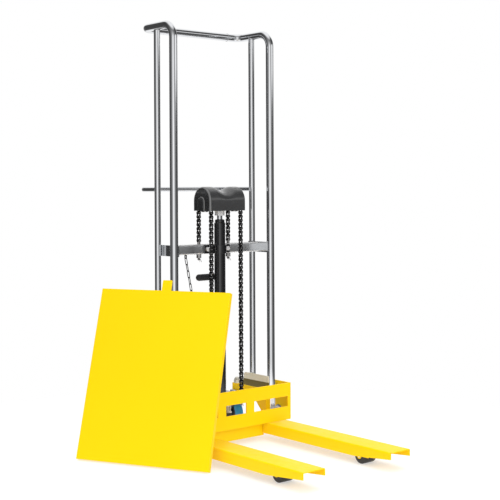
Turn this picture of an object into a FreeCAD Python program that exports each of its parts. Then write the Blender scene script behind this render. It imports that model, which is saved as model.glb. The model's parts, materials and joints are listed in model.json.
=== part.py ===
import FreeCAD, Part
import math
import os

from FreeCAD import Vector

# Hand pallet stacker. Sizes in millimetres. It is laid out from the middle of the mast on the floor:
# +X runs along the forks, +Y to the operator's left, +Z up. At the end everything is moved so that
# the origin is the middle of the whole object's footprint.

# Mast tubes and push handles
overall_height = 1680.0
front_tube_spacing = 492.0
tube_line_depth = 114.0
front_tube_d = 32.0
rear_tube_d = 25.0
rear_tube_bottom = 165.0
hoop_bend_r = 55.0
hoop_corner_r = 40.0
hoop_reach = 145.0
crossbar_half_length = 180.0
lower_handle_d = 20.0
lower_handle_z = 1020.0
lower_handle_reach = 178.0
lower_handle_corner_r = 40.0

# Cross bar and straps that tie the tubes together
bar_bottom = 760.0
bar_height = 39.0
bar_front = 6.0
bar_depth = 38.0
bar_edge_r = 6.0
strap_thickness = 4.0
strap_extra_height = 2.0
strap_overlap = 6.0
foot_bracket_height = 50.0
foot_bracket_rear = 97.0
foot_bracket_corner_r = 14.0
foot_bracket_step = 24.0

# Base
leg_width = 72.0
leg_wall = 4.0
leg_bottom = 30.0
leg_rear = 20.0
leg_front = 690.0
leg_fork_clearance = 3.0
base_front = 100.0
base_rear = -12.0
base_bottom = 18.0
base_top = 70.0
base_wall = 6.0
mast_foot_thickness = 9.0
mast_foot_margin = 4.0
side_frame_width = 24.0
side_frame_front = 70.0
side_frame_rear = -150.0
deck_top = 195.0
deck_bottom = 165.0
haunch_top = -20.0
haunch_bottom = 36.0
haunch_low_z = 106.0

# Load wheels
load_wheel_d = 60.0
load_wheel_width = 58.0
load_wheel_x = 642.0
load_axle_d = 12.0
load_ear_r = 10.0
load_wheel_edge = 3.0

# Castors
castor_x = -131.0
castor_trail = 40.0
castor_wheel_d = 125.0
castor_wheel_width = 36.0
castor_tyre_thickness = 15.0
castor_axle_d = 12.0
castor_fork_gap = 44.0
castor_fork_wall = 4.0
castor_housing_d = 62.0
castor_housing_height = 14.0
castor_plate_thickness = 6.0
castor_stem_d = 16.0
castor_nut_d = 26.0
castor_nut_height = 26.0
brake_pin_d = 8.0
brake_pin_back = 8.0
brake_pin_lift = 13.0
brake_hub_d = 17.0
brake_reach = 58.0
brake_plate = 5.0
brake_shoe_gap = 5.0

# Lift cylinder and head
cylinder_x = 30.0
cylinder_d = 45.0
cylinder_bore_d = 35.0
cylinder_top = 887.0
gland_d = 39.0
gland_height = 12.0
rod_d = 22.0
rod_bottom = 140.0
piston_height = 20.0
head_nut_d = 35.0
head_gap = 27.0
head_nut_height = 30.0
yoke_depth = 40.0
yoke_height_over_axle = 22.0
sheave_rise = 59.0
sheave_axle_d = 16.0
sheave_offset = 75.0
sheave_groove = 15.0
sheave_flange = 2.5
sheave_flange_r = 44.0
sheave_collar_d = 22.0
sheave_collar_length = 1.5
clamp_ring = 5.0
clamp_ear_reach = 64.0
clamp_ear_thickness = 8.0
clamp_height = 34.0
clamp_bolt_y = 50.0
clamp_bolt_head = 17.0

# Chain cover
cover_half_length = 92.0
cover_half_depth = 56.0
cover_over_axle = 57.0
cover_under_axle = 39.0
cover_saddle = 18.0
cover_saddle_half = 52.0
cover_edge_r = 10.0
cover_wall = 3.0
cover_boss_half = 23.0
cover_boss_height = 57.0
cover_boss_depth = 5.0
cover_post_d = 20.0

# Lift chains
chain_pitch = 15.875
sheave_run_r = 41.0
roller_d = 10.0
roller_width = 6.0
link_plate = 2.0
link_height = 13.0
link_end = 5.5
link_shoulder = 2.5
anchor_eye_r = 6.5
anchor_stud_d = 10.0
anchor_nut_af = 17.0
anchor_nut_height = 8.0
anchor_tail = 9.0
anchor_pin_rise = 12.0

# Carriage and forks
plate_front = 132.0
plate_thickness = 6.0
carriage_half = 288.0
carriage_top = 222.0
window_bottom = 126.0
window_top = 168.0
window_middle_half = 52.0
window_post = 40.0
window_end_margin = 16.0
side_plate_rear = -5.0
side_plate_bottom = 84.0
side_plate_corner_r = 25.0
shelf_hole_margin = 9.7
shelf_half = 110.0
shelf_bottom = 172.0
shelf_thickness = 8.0
gusset_y = 96.0
gusset_drop = 40.0
fork_inner = 161.0
fork_width = 104.0
fork_top = 72.0
fork_bottom = 28.0
fork_sheet = 4.0
fork_edge_r = 6.0
fork_tip = 808.0
fork_tip_bottom = 46.0
fork_taper_start = 620.0
heel_rear = 104.0

# Guide rollers on the front tubes
guide_roller_d = 44.0
guide_roller_width = 30.0
guide_throat_r = 14.0
guide_pin_d = 12.0
upper_guide_z = 196.0
lower_guide_z = 108.0

# Pump, hand lever and release valve
pump_rear = -85.0
pump_front = 62.0
pump_half = 36.0
pump_height = 48.0
pump_edge_r = 8.0
plunger_x = -69.0
plunger_d = 16.0
plunger_boss_d = 30.0
plunger_boss_height = 32.0
plunger_top = 172.0
lever_pivot_x = -45.0
lever_pivot_z = 186.0
lever_pin_d = 10.0
lever_hub_d = 26.0
lever_hub_width = 22.0
lever_ear = 6.0
lever_ear_r = 13.0
lever_rod_d = 14.0
rocker_height = 12.0
rocker_nose_r = 8.0
grip_x = -25.0
grip_z = 664.0
grip_d = 27.0
grip_half_length = 71.0
grip_inner = 12.0
grip_offset = -6.0
release_x = -12.0
release_pivot_y = 14.0
release_pivot_z = 158.0
release_post_depth = 16.0
release_post_width = 20.0
release_arm = 4.0
release_pin_d = 6.0
release_hub_r = 8.0
release_eye_y = -20.0
release_eye_z = 170.0
release_eye_r = 7.0
release_eye_hole = 8.0

# Release chain and its hook
hook_y = -140.0
hook_eye_drop = 10.0
hook_thickness = 3.0
hook_width = 14.0
release_links = 22
link_wire = 3.0
link_gap_width = 5.5
link_play = 0.4
link_seat = 0.6

# Loose platform, leaning on the right front tube
platform_width = 550.0
platform_length = 657.0
platform_flange = 22.0
platform_sheet = 3.0
platform_fold_r = 2.4
platform_yaw = 27.4
platform_corner_x = -96.5
platform_corner_y = -597.0
platform_tab_start = 262.0
platform_tab_width = 40.0
platform_tab_length = 41.0
platform_tab_r = 4.0

# Clearances
running_fit = 0.05
touch_gap = 0.3
hole_clearance = 1.0

# Places that follow from the sizes above
front_x = tube_line_depth / 2
rear_x = -tube_line_depth / 2
front_y = front_tube_spacing / 2
tube_inner_y = front_y - front_tube_d / 2
rear_y = tube_inner_y + rear_tube_d / 2
hoop_z = overall_height - front_tube_d / 2
bar_top = bar_bottom + bar_height
bar_rear = bar_front - bar_depth
strap_inner_y = tube_inner_y - strap_thickness
leg_top = fork_top - fork_sheet - leg_fork_clearance
leg_inner = fork_inner + fork_sheet + leg_fork_clearance
leg_centre = leg_inner + leg_width / 2
mast_foot_top = leg_top + mast_foot_thickness
side_frame_inner = tube_inner_y - side_frame_width
castor_y = tube_inner_y - side_frame_width / 2
castor_axle_z = castor_wheel_d / 2
castor_wheel_x = castor_x - castor_trail
castor_swivel_z = deck_bottom - castor_housing_height - touch_gap
castor_fork_top = castor_swivel_z - castor_plate_thickness
brake_pin_x = castor_wheel_x - brake_pin_back
brake_pin_z = castor_wheel_d + brake_pin_lift
head_nut_bottom = cylinder_top + head_gap
sheave_z = head_nut_bottom + sheave_rise
cover_top = sheave_z + cover_over_axle
cover_bottom = sheave_z - cover_under_axle
shelf_top = shelf_bottom + shelf_thickness
# Whole links only: each run of chain ends in an outer link at its anchor.
front_run = sheave_z - shelf_top - anchor_pin_rise
rear_run = sheave_z - bar_top - anchor_pin_rise
wrap_links = 2 * round(math.pi / (4 * math.asin(chain_pitch / (2 * sheave_run_r))))
front_links = 2 * math.floor((front_run / chain_pitch - 1) / 2) + 1
rear_links = 2 * math.floor(rear_run / chain_pitch / 2)
sheave_pitch_r = chain_pitch / (2 * math.sin(math.pi / (2 * wrap_links)))
front_strand_x = cylinder_x + sheave_pitch_r
shelf_rear = front_strand_x - shelf_hole_margin
rear_strand_x = cylinder_x - sheave_pitch_r
front_anchor_z = sheave_z - front_links * chain_pitch
rear_anchor_z = sheave_z - rear_links * chain_pitch
yoke_bottom = head_nut_bottom + head_nut_height
yoke_half = sheave_offset - sheave_groove / 2 - sheave_flange - touch_gap
pump_top = base_top + pump_height
plate_rear = plate_front - plate_thickness
side_plate_inner = carriage_half - plate_thickness
guide_offset = front_tube_d / 2 + touch_gap + guide_throat_r
hook_eye_z = bar_bottom - hook_eye_drop

parts = {}


def box(x0, x1, y0, y1, z0, z1):
    return Part.makeBox(x1 - x0, y1 - y0, z1 - z0, Vector(x0, y0, z0))


def rod(start, end, diameter):
    return Part.makeCylinder(diameter / 2, (end - start).Length, start, end - start)


def cross_rod(x, z, y0, y1, diameter):
    return rod(Vector(x, y0, z), Vector(x, y1, z), diameter)


def other_side(shape):
    return shape.mirror(Vector(0, 0, 0), Vector(0, 1, 0))


def both_sides(shape):
    return Part.makeCompound([shape, other_side(shape)])


def corner_ends(before, here, after, radius):
    """Where an arc of this radius starts, peaks and ends at a corner."""
    back = (before - here).normalize()
    ahead = (after - here).normalize()
    half_angle = back.getAngle(ahead) / 2
    cut = radius / math.tan(half_angle)
    peak = radius / math.sin(half_angle) - radius
    return here + back * cut, here + (back + ahead).normalize() * peak, here + ahead * cut


def closed_wire(corners, place):
    """Outline through corners (a, b) or (a, b, radius), put into space by place."""
    points = [Vector(corner[0], corner[1], 0) for corner in corners]
    radii = [corner[2] if len(corner) > 2 else 0 for corner in corners]
    count = len(points)
    turns = []
    for i in range(count):
        if radii[i] > 0:
            turns.append(corner_ends(points[i - 1], points[i], points[(i + 1) % count], radii[i]))
        else:
            turns.append((points[i], None, points[i]))
    edges = []
    for i in range(count):
        start, peak, end = turns[i]
        if peak is not None:
            edges.append(Part.Arc(place(start), place(peak), place(end)).toShape())
        ahead = turns[(i + 1) % count][0]
        if (ahead - end).Length > 1e-6:
            edges.append(Part.LineSegment(place(end), place(ahead)).toShape())
    return Part.Wire(edges)


def slab(corners, axis, start, thickness, holes=()):
    """Flat outline pushed along an axis. X takes (y, z) corners, Y takes (x, z), Z takes (x, y)."""
    if axis == "X":
        direction = Vector(thickness, 0, 0)

        def place(p):
            return Vector(start, p.x, p.y)
    elif axis == "Y":
        direction = Vector(0, thickness, 0)

        def place(p):
            return Vector(p.x, start, p.y)
    else:
        direction = Vector(0, 0, thickness)

        def place(p):
            return Vector(p.x, p.y, start)
    wires = [closed_wire(corners, place)]
    wires += [closed_wire(hole, place) for hole in holes]
    return Part.makeFace(wires, "Part::FaceMakerBullseye").extrude(direction)


def rectangle(a0, a1, b0, b1, radius=0):
    return [(a0, b0, radius), (a1, b0, radius), (a1, b1, radius), (a0, b1, radius)]


def turned(profile, centre, axis):
    """Solid of revolution from (radius, along) corners about an axis through centre."""
    points = [Vector(radius, 0, along) for radius, along in profile]
    face = Part.Face(Part.makePolygon(points + points[:1]))
    solid = face.revolve(Vector(0, 0, 0), Vector(0, 0, 1), 360)
    solid.Placement = FreeCAD.Placement(centre, FreeCAD.Rotation(Vector(0, 0, 1), axis))
    return solid


def bent_tube(corners, diameter):
    """Round bar along corners (point, bend radius)."""
    edges = []
    start = corners[0][0]
    for i in range(1, len(corners) - 1):
        here, radius = corners[i]
        begin, peak, end = corner_ends(corners[i - 1][0], here, corners[i + 1][0], radius)
        edges.append(Part.LineSegment(start, begin).toShape())
        edges.append(Part.Arc(begin, peak, end).toShape())
        start = end
    edges.append(Part.LineSegment(start, corners[-1][0]).toShape())
    first = corners[0][0]
    circle = Part.Circle(first, corners[1][0] - first, diameter / 2)
    return Part.Wire(edges).makePipeShell([Part.Wire(circle.toShape())], True, False)


def hexagon(x, y, across_flats):
    radius = across_flats / math.sqrt(3)
    angles = [math.radians(60 * i) for i in range(6)]
    return [(x + radius * math.cos(a), y + radius * math.sin(a)) for a in angles]


# Mast
def mast_tube():
    foot = Vector(front_x, front_y, mast_foot_top)
    top = Vector(front_x, front_y, hoop_z)
    back = Vector(-hoop_reach, front_y, hoop_z)
    end = Vector(-hoop_reach, crossbar_half_length, hoop_z)
    return bent_tube([(foot, 0), (top, hoop_bend_r), (back, hoop_corner_r), (end, 0)], front_tube_d)


def rear_tube(hoop):
    tube = rod(Vector(rear_x, rear_y, rear_tube_bottom), Vector(rear_x, rear_y, hoop_z), rear_tube_d)
    return tube.cut(hoop)


def lower_handle(tubes):
    corners = [
        (Vector(rear_x, rear_y, lower_handle_z), 0),
        (Vector(-lower_handle_reach, rear_y, lower_handle_z), lower_handle_corner_r),
        (Vector(-lower_handle_reach, -rear_y, lower_handle_z), lower_handle_corner_r),
        (Vector(rear_x, -rear_y, lower_handle_z), 0),
    ]
    return bent_tube(corners, lower_handle_d).cut(tubes)


def upper_cross_bar():
    section = rectangle(bar_rear, bar_front, bar_bottom, bar_top, bar_edge_r)
    bar = slab(section, "Y", -strap_inner_y, 2 * strap_inner_y)
    hole_d = anchor_stud_d + hole_clearance
    for side in (-1, 1):
        low = Vector(rear_strand_x, side * sheave_offset, bar_bottom)
        high = Vector(rear_strand_x, side * sheave_offset, bar_top)
        bar = bar.cut(rod(low, high, hole_d))
    return bar


def upper_strap():
    low = bar_bottom - strap_extra_height
    high = bar_top + strap_extra_height
    outline = rectangle(rear_x - strap_overlap, front_x + strap_overlap, low, high)
    return slab(outline, "Y", strap_inner_y, strap_thickness)


def foot_bracket():
    top = deck_top + foot_bracket_height
    low_part = deck_top + foot_bracket_step
    outline = [
        (-foot_bracket_rear, deck_top),
        (front_x + strap_overlap, deck_top),
        (front_x + strap_overlap, top, foot_bracket_corner_r / 2),
        (-foot_bracket_rear, top, foot_bracket_corner_r),
    ]
    plate = slab(outline, "Y", strap_inner_y, strap_thickness)
    toe_back = side_frame_inner + strap_thickness
    toe = [(strap_inner_y, low_part), (strap_inner_y, deck_top), (toe_back, deck_top)]
    toe_bar = slab(toe, "X", -foot_bracket_rear, foot_bracket_rear + front_x)
    return plate.fuse(toe_bar).removeSplitter()


# Base
def leg():
    inner = leg_inner
    outer = leg_inner + leg_width
    section = [
        (inner, leg_bottom), (inner, leg_top), (outer, leg_top), (outer, leg_bottom),
        (outer - leg_wall, leg_bottom), (outer - leg_wall, leg_top - leg_wall),
        (inner + leg_wall, leg_top - leg_wall), (inner + leg_wall, leg_bottom),
    ]
    channel = slab(section, "X", leg_rear, leg_front - leg_rear)
    axle_z = load_wheel_d / 2
    for start in (inner, outer - leg_wall):
        channel = channel.fuse(cross_rod(load_wheel_x, axle_z, start, start + leg_wall, 2 * load_ear_r))
    hole = cross_rod(load_wheel_x, axle_z, inner, outer, load_axle_d + 2 * running_fit)
    return channel.cut(hole).removeSplitter()


def base_cross_member():
    section = [
        (base_rear, base_bottom), (base_rear, base_top), (base_front, base_top), (base_front, base_bottom),
        (base_front - base_wall, base_bottom), (base_front - base_wall, base_top - base_wall),
        (base_rear + base_wall, base_top - base_wall), (base_rear + base_wall, base_bottom),
    ]
    return slab(section, "Y", -leg_inner, 2 * leg_inner)


def mast_foot():
    reach = front_tube_d / 2 + mast_foot_margin
    outline = [
        (front_x - reach, leg_inner), (front_x + reach, leg_inner),
        (front_x + reach, front_y + reach, reach / 2), (front_x - reach, front_y + reach, reach / 2),
    ]
    return slab(outline, "Z", leg_top, mast_foot_thickness)


def side_frame():
    post_rear = front_x - front_tube_d / 2 - mast_foot_margin
    outline = [
        (side_frame_front, mast_foot_top), (side_frame_front, deck_top),
        (side_frame_rear, deck_top), (side_frame_rear, deck_bottom),
        (haunch_top, deck_bottom), (haunch_bottom, haunch_low_z),
        (post_rear, haunch_low_z), (post_rear, mast_foot_top),
    ]
    frame = slab(outline, "Y", side_frame_inner, side_frame_width)
    low = Vector(castor_x, castor_y, deck_bottom)
    return frame.cut(rod(low, low + Vector(0, 0, deck_top - deck_bottom), castor_stem_d))


def load_wheel():
    r = load_wheel_d / 2
    half = load_wheel_width / 2
    bore = load_axle_d / 2 + running_fit
    profile = [
        (bore, -half), (r - load_wheel_edge, -half), (r, -half + load_wheel_edge),
        (r, half - load_wheel_edge), (r - load_wheel_edge, half), (bore, half),
    ]
    return turned(profile, Vector(load_wheel_x, leg_centre, r), Vector(0, 1, 0))


def load_axle():
    return cross_rod(load_wheel_x, load_wheel_d / 2, leg_inner, leg_inner + leg_width, load_axle_d)


# Castors
def castor_housing():
    low = Vector(castor_x, castor_y, deck_bottom - castor_housing_height)
    ring = rod(low, low + Vector(0, 0, castor_housing_height), castor_housing_d)
    return ring.cut(rod(low, low + Vector(0, 0, castor_housing_height), castor_stem_d))


def castor_stem():
    """King pin with a head under the fork's crown and a domed nut on the deck."""
    head_top = Vector(castor_x, castor_y, castor_fork_top - touch_gap)
    head_low = head_top - Vector(0, 0, castor_plate_thickness)
    stem = rod(head_top, Vector(castor_x, castor_y, deck_top), castor_stem_d)
    stem = stem.fuse(rod(head_low, head_top, castor_nut_d))
    half = castor_nut_height / 2
    nut = slab(hexagon(castor_x, castor_y, castor_nut_d), "Z", deck_top, half)
    dome = Part.makeSphere(half, Vector(castor_x, castor_y, deck_top + half), Vector(0, 0, 1), 0, 90)
    return stem.fuse(nut).fuse(dome)


def castor_fork():
    cheek = castor_fork_gap / 2
    axle_r = castor_axle_d
    reach = castor_housing_d / 2
    outline = [
        (castor_x + reach, castor_fork_top), (castor_x - reach, castor_fork_top),
        (brake_pin_x - brake_pin_d, castor_fork_top, brake_pin_d / 2),
        (brake_pin_x - brake_pin_d, brake_pin_z - brake_pin_d, brake_pin_d / 2),
        (castor_wheel_x - axle_r, castor_axle_z, 1),
        (castor_wheel_x - axle_r, castor_axle_z - axle_r, axle_r / 2),
        (castor_wheel_x + axle_r, castor_axle_z - axle_r, axle_r / 2),
        (castor_wheel_x + axle_r, castor_axle_z, 1),
        (castor_x + reach, castor_fork_top - castor_plate_thickness),
    ]
    hub = castor_y - cheek - castor_fork_wall
    full = 2 * (cheek + castor_fork_wall)
    crown_outline = rectangle(castor_x - reach, castor_x + reach, hub, hub + full, castor_plate_thickness)
    fork = slab(crown_outline, "Z", castor_fork_top, castor_plate_thickness)
    crown_low = Vector(castor_x, castor_y, castor_fork_top)
    crown_top = crown_low + Vector(0, 0, castor_plate_thickness)
    fork = fork.cut(rod(crown_low, crown_top, castor_stem_d + 2 * running_fit))
    for start in (hub, castor_y + cheek):
        fork = fork.fuse(slab(outline, "Y", start, castor_fork_wall))
    axle_hole = cross_rod(castor_wheel_x, castor_axle_z, hub, hub + full, castor_axle_d)
    pin_hole = cross_rod(brake_pin_x, brake_pin_z, hub, hub + full, brake_pin_d)
    return fork.cut(axle_hole).cut(pin_hole).removeSplitter()


def castor_pins():
    reach = castor_fork_gap / 2 + castor_fork_wall
    axle = cross_rod(castor_wheel_x, castor_axle_z, castor_y - reach, castor_y + reach, castor_axle_d)
    pin = cross_rod(brake_pin_x, brake_pin_z, castor_y - reach, castor_y + reach, brake_pin_d)
    return Part.makeCompound([axle, pin])


def castor_hub():
    r = castor_wheel_d / 2 - castor_tyre_thickness
    half = castor_wheel_width / 2
    web = half / 3
    bore = castor_axle_d / 2 + running_fit
    boss = castor_axle_d
    boss_half = castor_fork_gap / 2 - touch_gap
    rim = r - castor_tyre_thickness / 2
    profile = [
        (bore, -boss_half), (boss, -boss_half), (boss, -web), (rim, -web), (rim, -half), (r, -half),
        (r, half), (rim, half), (rim, web), (boss, web), (boss, boss_half), (bore, boss_half),
    ]
    return turned(profile, Vector(castor_wheel_x, castor_y, castor_axle_z), Vector(0, 1, 0))


def castor_tyre():
    r = castor_wheel_d / 2
    half = castor_wheel_width / 2
    edge = castor_tyre_thickness / 3
    inner = r - castor_tyre_thickness
    profile = [
        (inner, -half), (r - edge, -half), (r, -half + edge),
        (r, half - edge), (r - edge, half), (inner, half),
    ]
    return turned(profile, Vector(castor_wheel_x, castor_y, castor_axle_z), Vector(0, 1, 0))


def brake_pedal():
    half = castor_fork_gap / 2 - touch_gap
    hub_r = brake_hub_d / 2
    hub = cross_rod(brake_pin_x, brake_pin_z, castor_y - half, castor_y + half, brake_hub_d)
    toe_x = brake_pin_x - brake_reach
    shoe_x = brake_pin_x - brake_reach / 2
    drop = math.sqrt((castor_wheel_d / 2 + brake_shoe_gap) ** 2 - (castor_wheel_x - shoe_x) ** 2)
    shoe_z = castor_axle_z + drop
    top = brake_pin_z + hub_r
    outline = [
        (brake_pin_x, top), (toe_x, top, brake_plate / 2), (toe_x, top - brake_plate),
        (shoe_x - brake_plate, top - brake_plate), (shoe_x - brake_plate, shoe_z), (shoe_x, shoe_z),
        (shoe_x, top - brake_plate), (brake_pin_x, top - brake_plate),
    ]
    pedal = hub.fuse(slab(outline, "Y", castor_y - half, 2 * half))
    bore_d = brake_pin_d + 2 * running_fit
    bore = cross_rod(brake_pin_x, brake_pin_z, castor_y - half, castor_y + half, bore_d)
    return pedal.cut(bore).removeSplitter()


# Lift cylinder
def cylinder_barrel():
    low = Vector(cylinder_x, 0, pump_top)
    top = Vector(cylinder_x, 0, cylinder_top)
    return rod(low, top, cylinder_d).cut(rod(low, top, cylinder_bore_d))


def cylinder_gland():
    half = gland_d / 2
    bore = rod_d / 2 + running_fit
    top = gland_height
    profile = [
        (bore, -top), (cylinder_bore_d / 2, -top), (cylinder_bore_d / 2, 0), (half, 0),
        (half, top - running_fit * 40), (half - running_fit * 40, top), (bore, top),
    ]
    return turned(profile, Vector(cylinder_x, 0, cylinder_top), Vector(0, 0, 1))


def piston_rod():
    low = Vector(cylinder_x, 0, rod_bottom)
    shaft = rod(low, Vector(cylinder_x, 0, head_nut_bottom), rod_d)
    piston_d = cylinder_bore_d - 2 * running_fit
    return shaft.fuse(rod(low, low + Vector(0, 0, piston_height), piston_d))


def head_yoke():
    nut = slab(hexagon(cylinder_x, 0, head_nut_d), "Z", head_nut_bottom, head_nut_height)
    half = yoke_depth / 2
    outline = [
        (cylinder_x - half, yoke_bottom), (cylinder_x + half, yoke_bottom),
        (cylinder_x + half, sheave_z + yoke_height_over_axle, half / 2),
        (cylinder_x - half, sheave_z + yoke_height_over_axle, half / 2),
    ]
    block = slab(outline, "Y", -yoke_half, 2 * yoke_half)
    bore = cross_rod(cylinder_x, sheave_z, -yoke_half, yoke_half, sheave_axle_d)
    return block.fuse(nut).cut(bore)


def sheave_axle():
    collar_start = sheave_offset + sheave_groove / 2 + sheave_flange + touch_gap
    end = collar_start + sheave_collar_length
    axle = cross_rod(cylinder_x, sheave_z, -end, end, sheave_axle_d)
    for start in (-end, collar_start):
        collar = cross_rod(cylinder_x, sheave_z, start, start + sheave_collar_length, sheave_collar_d)
        axle = axle.fuse(collar)
    return axle


def sheave():
    bore = sheave_axle_d / 2 + running_fit
    rim = sheave_pitch_r * math.cos(math.pi / (2 * wrap_links)) - link_height / 2 - touch_gap
    inside = sheave_groove / 2
    outside = inside + sheave_flange
    profile = [
        (bore, -outside), (sheave_flange_r, -outside), (sheave_flange_r, -inside), (rim, -inside),
        (rim, inside), (sheave_flange_r, inside), (sheave_flange_r, outside), (bore, outside),
    ]
    return turned(profile, Vector(cylinder_x, sheave_offset, sheave_z), Vector(0, 1, 0))


def cylinder_clamp():
    inside = cylinder_d / 2 + running_fit
    outside = inside + clamp_ring
    low = bar_bottom + (bar_height - clamp_height) / 2
    ear_front = bar_front + clamp_ear_thickness
    ears = box(bar_front, ear_front, -clamp_ear_reach, clamp_ear_reach, low, low + clamp_height)
    base = Vector(cylinder_x, 0, low)
    top = Vector(cylinder_x, 0, low + clamp_height)
    ring = rod(base, top, 2 * outside)
    behind = box(cylinder_x - outside, bar_front, -outside, outside, low, low + clamp_height)
    clamp = ring.cut(behind).fuse(ears).cut(rod(base, top, 2 * inside))
    return clamp.removeSplitter()


def clamp_bolts():
    seat = bar_front + clamp_ear_thickness
    middle = bar_bottom + bar_height / 2
    heads = []
    for side in (-1, 1):
        outline = hexagon(side * clamp_bolt_y, middle, clamp_bolt_head)
        heads.append(slab(outline, "X", seat, clamp_ear_thickness))
    return Part.makeCompound(heads)


# Chain cover
def cover_arch(y, inset, dip):
    half = cover_half_depth - inset
    shoulder = cover_top - cover_half_depth
    top = cover_top - inset - dip
    left_low = Vector(cylinder_x - half, y, cover_bottom)
    left = Vector(cylinder_x - half, y, shoulder)
    peak = Vector(cylinder_x, y, top)
    right = Vector(cylinder_x + half, y, shoulder)
    right_low = Vector(cylinder_x + half, y, cover_bottom)
    return Part.Wire([
        Part.LineSegment(left_low, left).toShape(),
        Part.Arc(left, peak, right).toShape(),
        Part.LineSegment(right, right_low).toShape(),
        Part.LineSegment(right_low, left_low).toShape(),
    ])


def arch_block(half, top, y0, y1):
    shoulder = top - half
    outline = [
        (cylinder_x - half, cover_bottom), (cylinder_x - half, shoulder),
        (cylinder_x + half, shoulder), (cylinder_x + half, cover_bottom),
    ]
    block = slab(outline, "Y", y0, y1 - y0)
    return block.fuse(cross_rod(cylinder_x, shoulder, y0, y1, 2 * half))


def chain_cover():
    edge_steps = [math.radians(angle) for angle in (0, 45, 90)]
    saddle_steps = [1.0, 0.75, 0.5, 0.25]
    sections = []
    for angle in edge_steps:
        y = cover_half_length - cover_edge_r * (1 - math.sin(angle))
        sections.append((y, cover_edge_r * (1 - math.cos(angle)), 0.0))
    sections.reverse()
    for share in saddle_steps:
        dip = cover_saddle * (1 + math.cos(math.pi * share)) / 2
        sections.append((cover_saddle_half * share, 0.0, dip))
    sections.append((0.0, 0.0, cover_saddle))
    sections += [(-y, inset, dip) for y, inset, dip in reversed(sections[:-1])]
    shell = Part.makeLoft([cover_arch(*section) for section in sections], True, True)
    hump_end = cover_half_length - cover_wall
    hump_start = cover_saddle_half
    inner_half = cover_half_depth - cover_wall
    hollow = arch_block(inner_half, cover_top - cover_wall, hump_start, hump_end)
    hollow = hollow.fuse(arch_block(inner_half, cover_top - cover_wall, -hump_end, -hump_start))
    low_half = inner_half - cover_saddle
    low_room = arch_block(low_half, cover_top - cover_saddle - cover_wall, -hump_start, hump_start)
    shell = shell.cut(hollow).cut(low_room)
    post_low = sheave_z + yoke_height_over_axle
    post_top = cover_top - cover_saddle - cover_wall / 2
    post = rod(Vector(cylinder_x, 0, post_low), Vector(cylinder_x, 0, post_top), cover_post_d)
    shell = shell.fuse(post)
    for side in (-1, 1):
        y0 = cover_half_length if side > 0 else -cover_half_length - cover_boss_depth
        boss_top = cover_bottom + cover_boss_height
        shell = shell.fuse(arch_block(cover_boss_half, boss_top, y0, y0 + cover_boss_depth))
    return shell.removeSplitter()


# Lift chains
def link_plates(start, end, y, inner):
    """Two flat link plates between two pin centres (x, z)."""
    run = Vector(end[0] - start[0], 0, end[1] - start[1])
    along = run.normalize()
    across = Vector(-along.z, 0, along.x)
    middle = Vector((start[0] + end[0]) / 2, 0, (start[1] + end[1]) / 2)
    tip = chain_pitch / 2 + link_end
    shoulder = chain_pitch / 2 - link_shoulder
    half = link_height / 2
    shape = [(tip, 0), (shoulder, half), (-shoulder, half), (-tip, 0), (-shoulder, -half), (shoulder, -half)]
    offset = roller_width / 2 if inner else roller_width / 2 + link_plate
    plates = []
    for y0 in (y + offset, y - offset - link_plate):
        points = [middle + along * a + across * b + Vector(0, y0, 0) for a, b in shape]
        face = Part.Face(Part.makePolygon(points + points[:1]))
        plates.append(face.extrude(Vector(0, link_plate, 0)))
    return plates


def chain_roller(joint, y):
    outline = hexagon(joint[0], joint[1], roller_d)
    return slab(outline, "Y", y - roller_width / 2, roller_width)


def chain_run(joints, y, first_inner, rollers):
    """Links along pin centres, every second one an inner link, with rollers at the chosen pins."""
    solids = []
    for i in range(len(joints) - 1):
        solids += link_plates(joints[i], joints[i + 1], y, first_inner == (i % 2 == 0))
    solids += [chain_roller(joint, y) for joint in rollers]
    return Part.makeCompound(solids)


def front_chain(y):
    joints = [(front_strand_x, sheave_z - i * chain_pitch) for i in range(front_links + 1)]
    return chain_run(joints, y, False, joints[1:-1])


def rear_chain(y):
    joints = [(rear_strand_x, sheave_z - i * chain_pitch) for i in range(rear_links + 1)]
    return chain_run(joints, y, True, joints[1:-1])


def chain_wrap(y):
    joints = []
    for i in range(wrap_links + 1):
        angle = math.pi * i / wrap_links
        x = cylinder_x + sheave_pitch_r * math.cos(angle)
        z = sheave_z + sheave_pitch_r * math.sin(angle)
        joints.append((x, z))
    return chain_run(joints, y, True, joints)


def chain_anchor(x, y, eye_z, seat_top, seat_bottom):
    """Eye, stud through the seat, and two nuts below it."""
    eye_width = roller_width + 2 * link_plate - 2 * touch_gap
    outline = [
        (x - anchor_eye_r, seat_top), (x + anchor_eye_r, seat_top),
        (x + anchor_eye_r, eye_z + anchor_eye_r, anchor_eye_r * 0.9),
        (x - anchor_eye_r, eye_z + anchor_eye_r, anchor_eye_r * 0.9),
    ]
    eye = slab(outline, "Y", y - eye_width / 2, eye_width)
    stud_end = seat_bottom - 2 * anchor_nut_height - anchor_tail
    stud = rod(Vector(x, y, stud_end), Vector(x, y, seat_top), anchor_stud_d)
    anchor = eye.fuse(stud)
    for i in (1, 2):
        nut = slab(hexagon(x, y, anchor_nut_af), "Z", seat_bottom - i * anchor_nut_height, anchor_nut_height)
        anchor = anchor.fuse(nut)
    return anchor


# Carriage
def carriage_plate():
    outline = rectangle(-carriage_half, carriage_half, fork_top, carriage_top)
    post_outer = window_middle_half + window_post
    edge = carriage_half - window_end_margin
    holes = [
        rectangle(-window_middle_half, window_middle_half, window_bottom, window_top),
        rectangle(post_outer, edge, window_bottom, window_top),
        rectangle(-edge, -post_outer, window_bottom, window_top),
    ]
    return slab(outline, "X", plate_rear, plate_thickness, holes)


def guide_places():
    return [(front_x - guide_offset, upper_guide_z), (front_x + guide_offset, lower_guide_z)]


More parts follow.
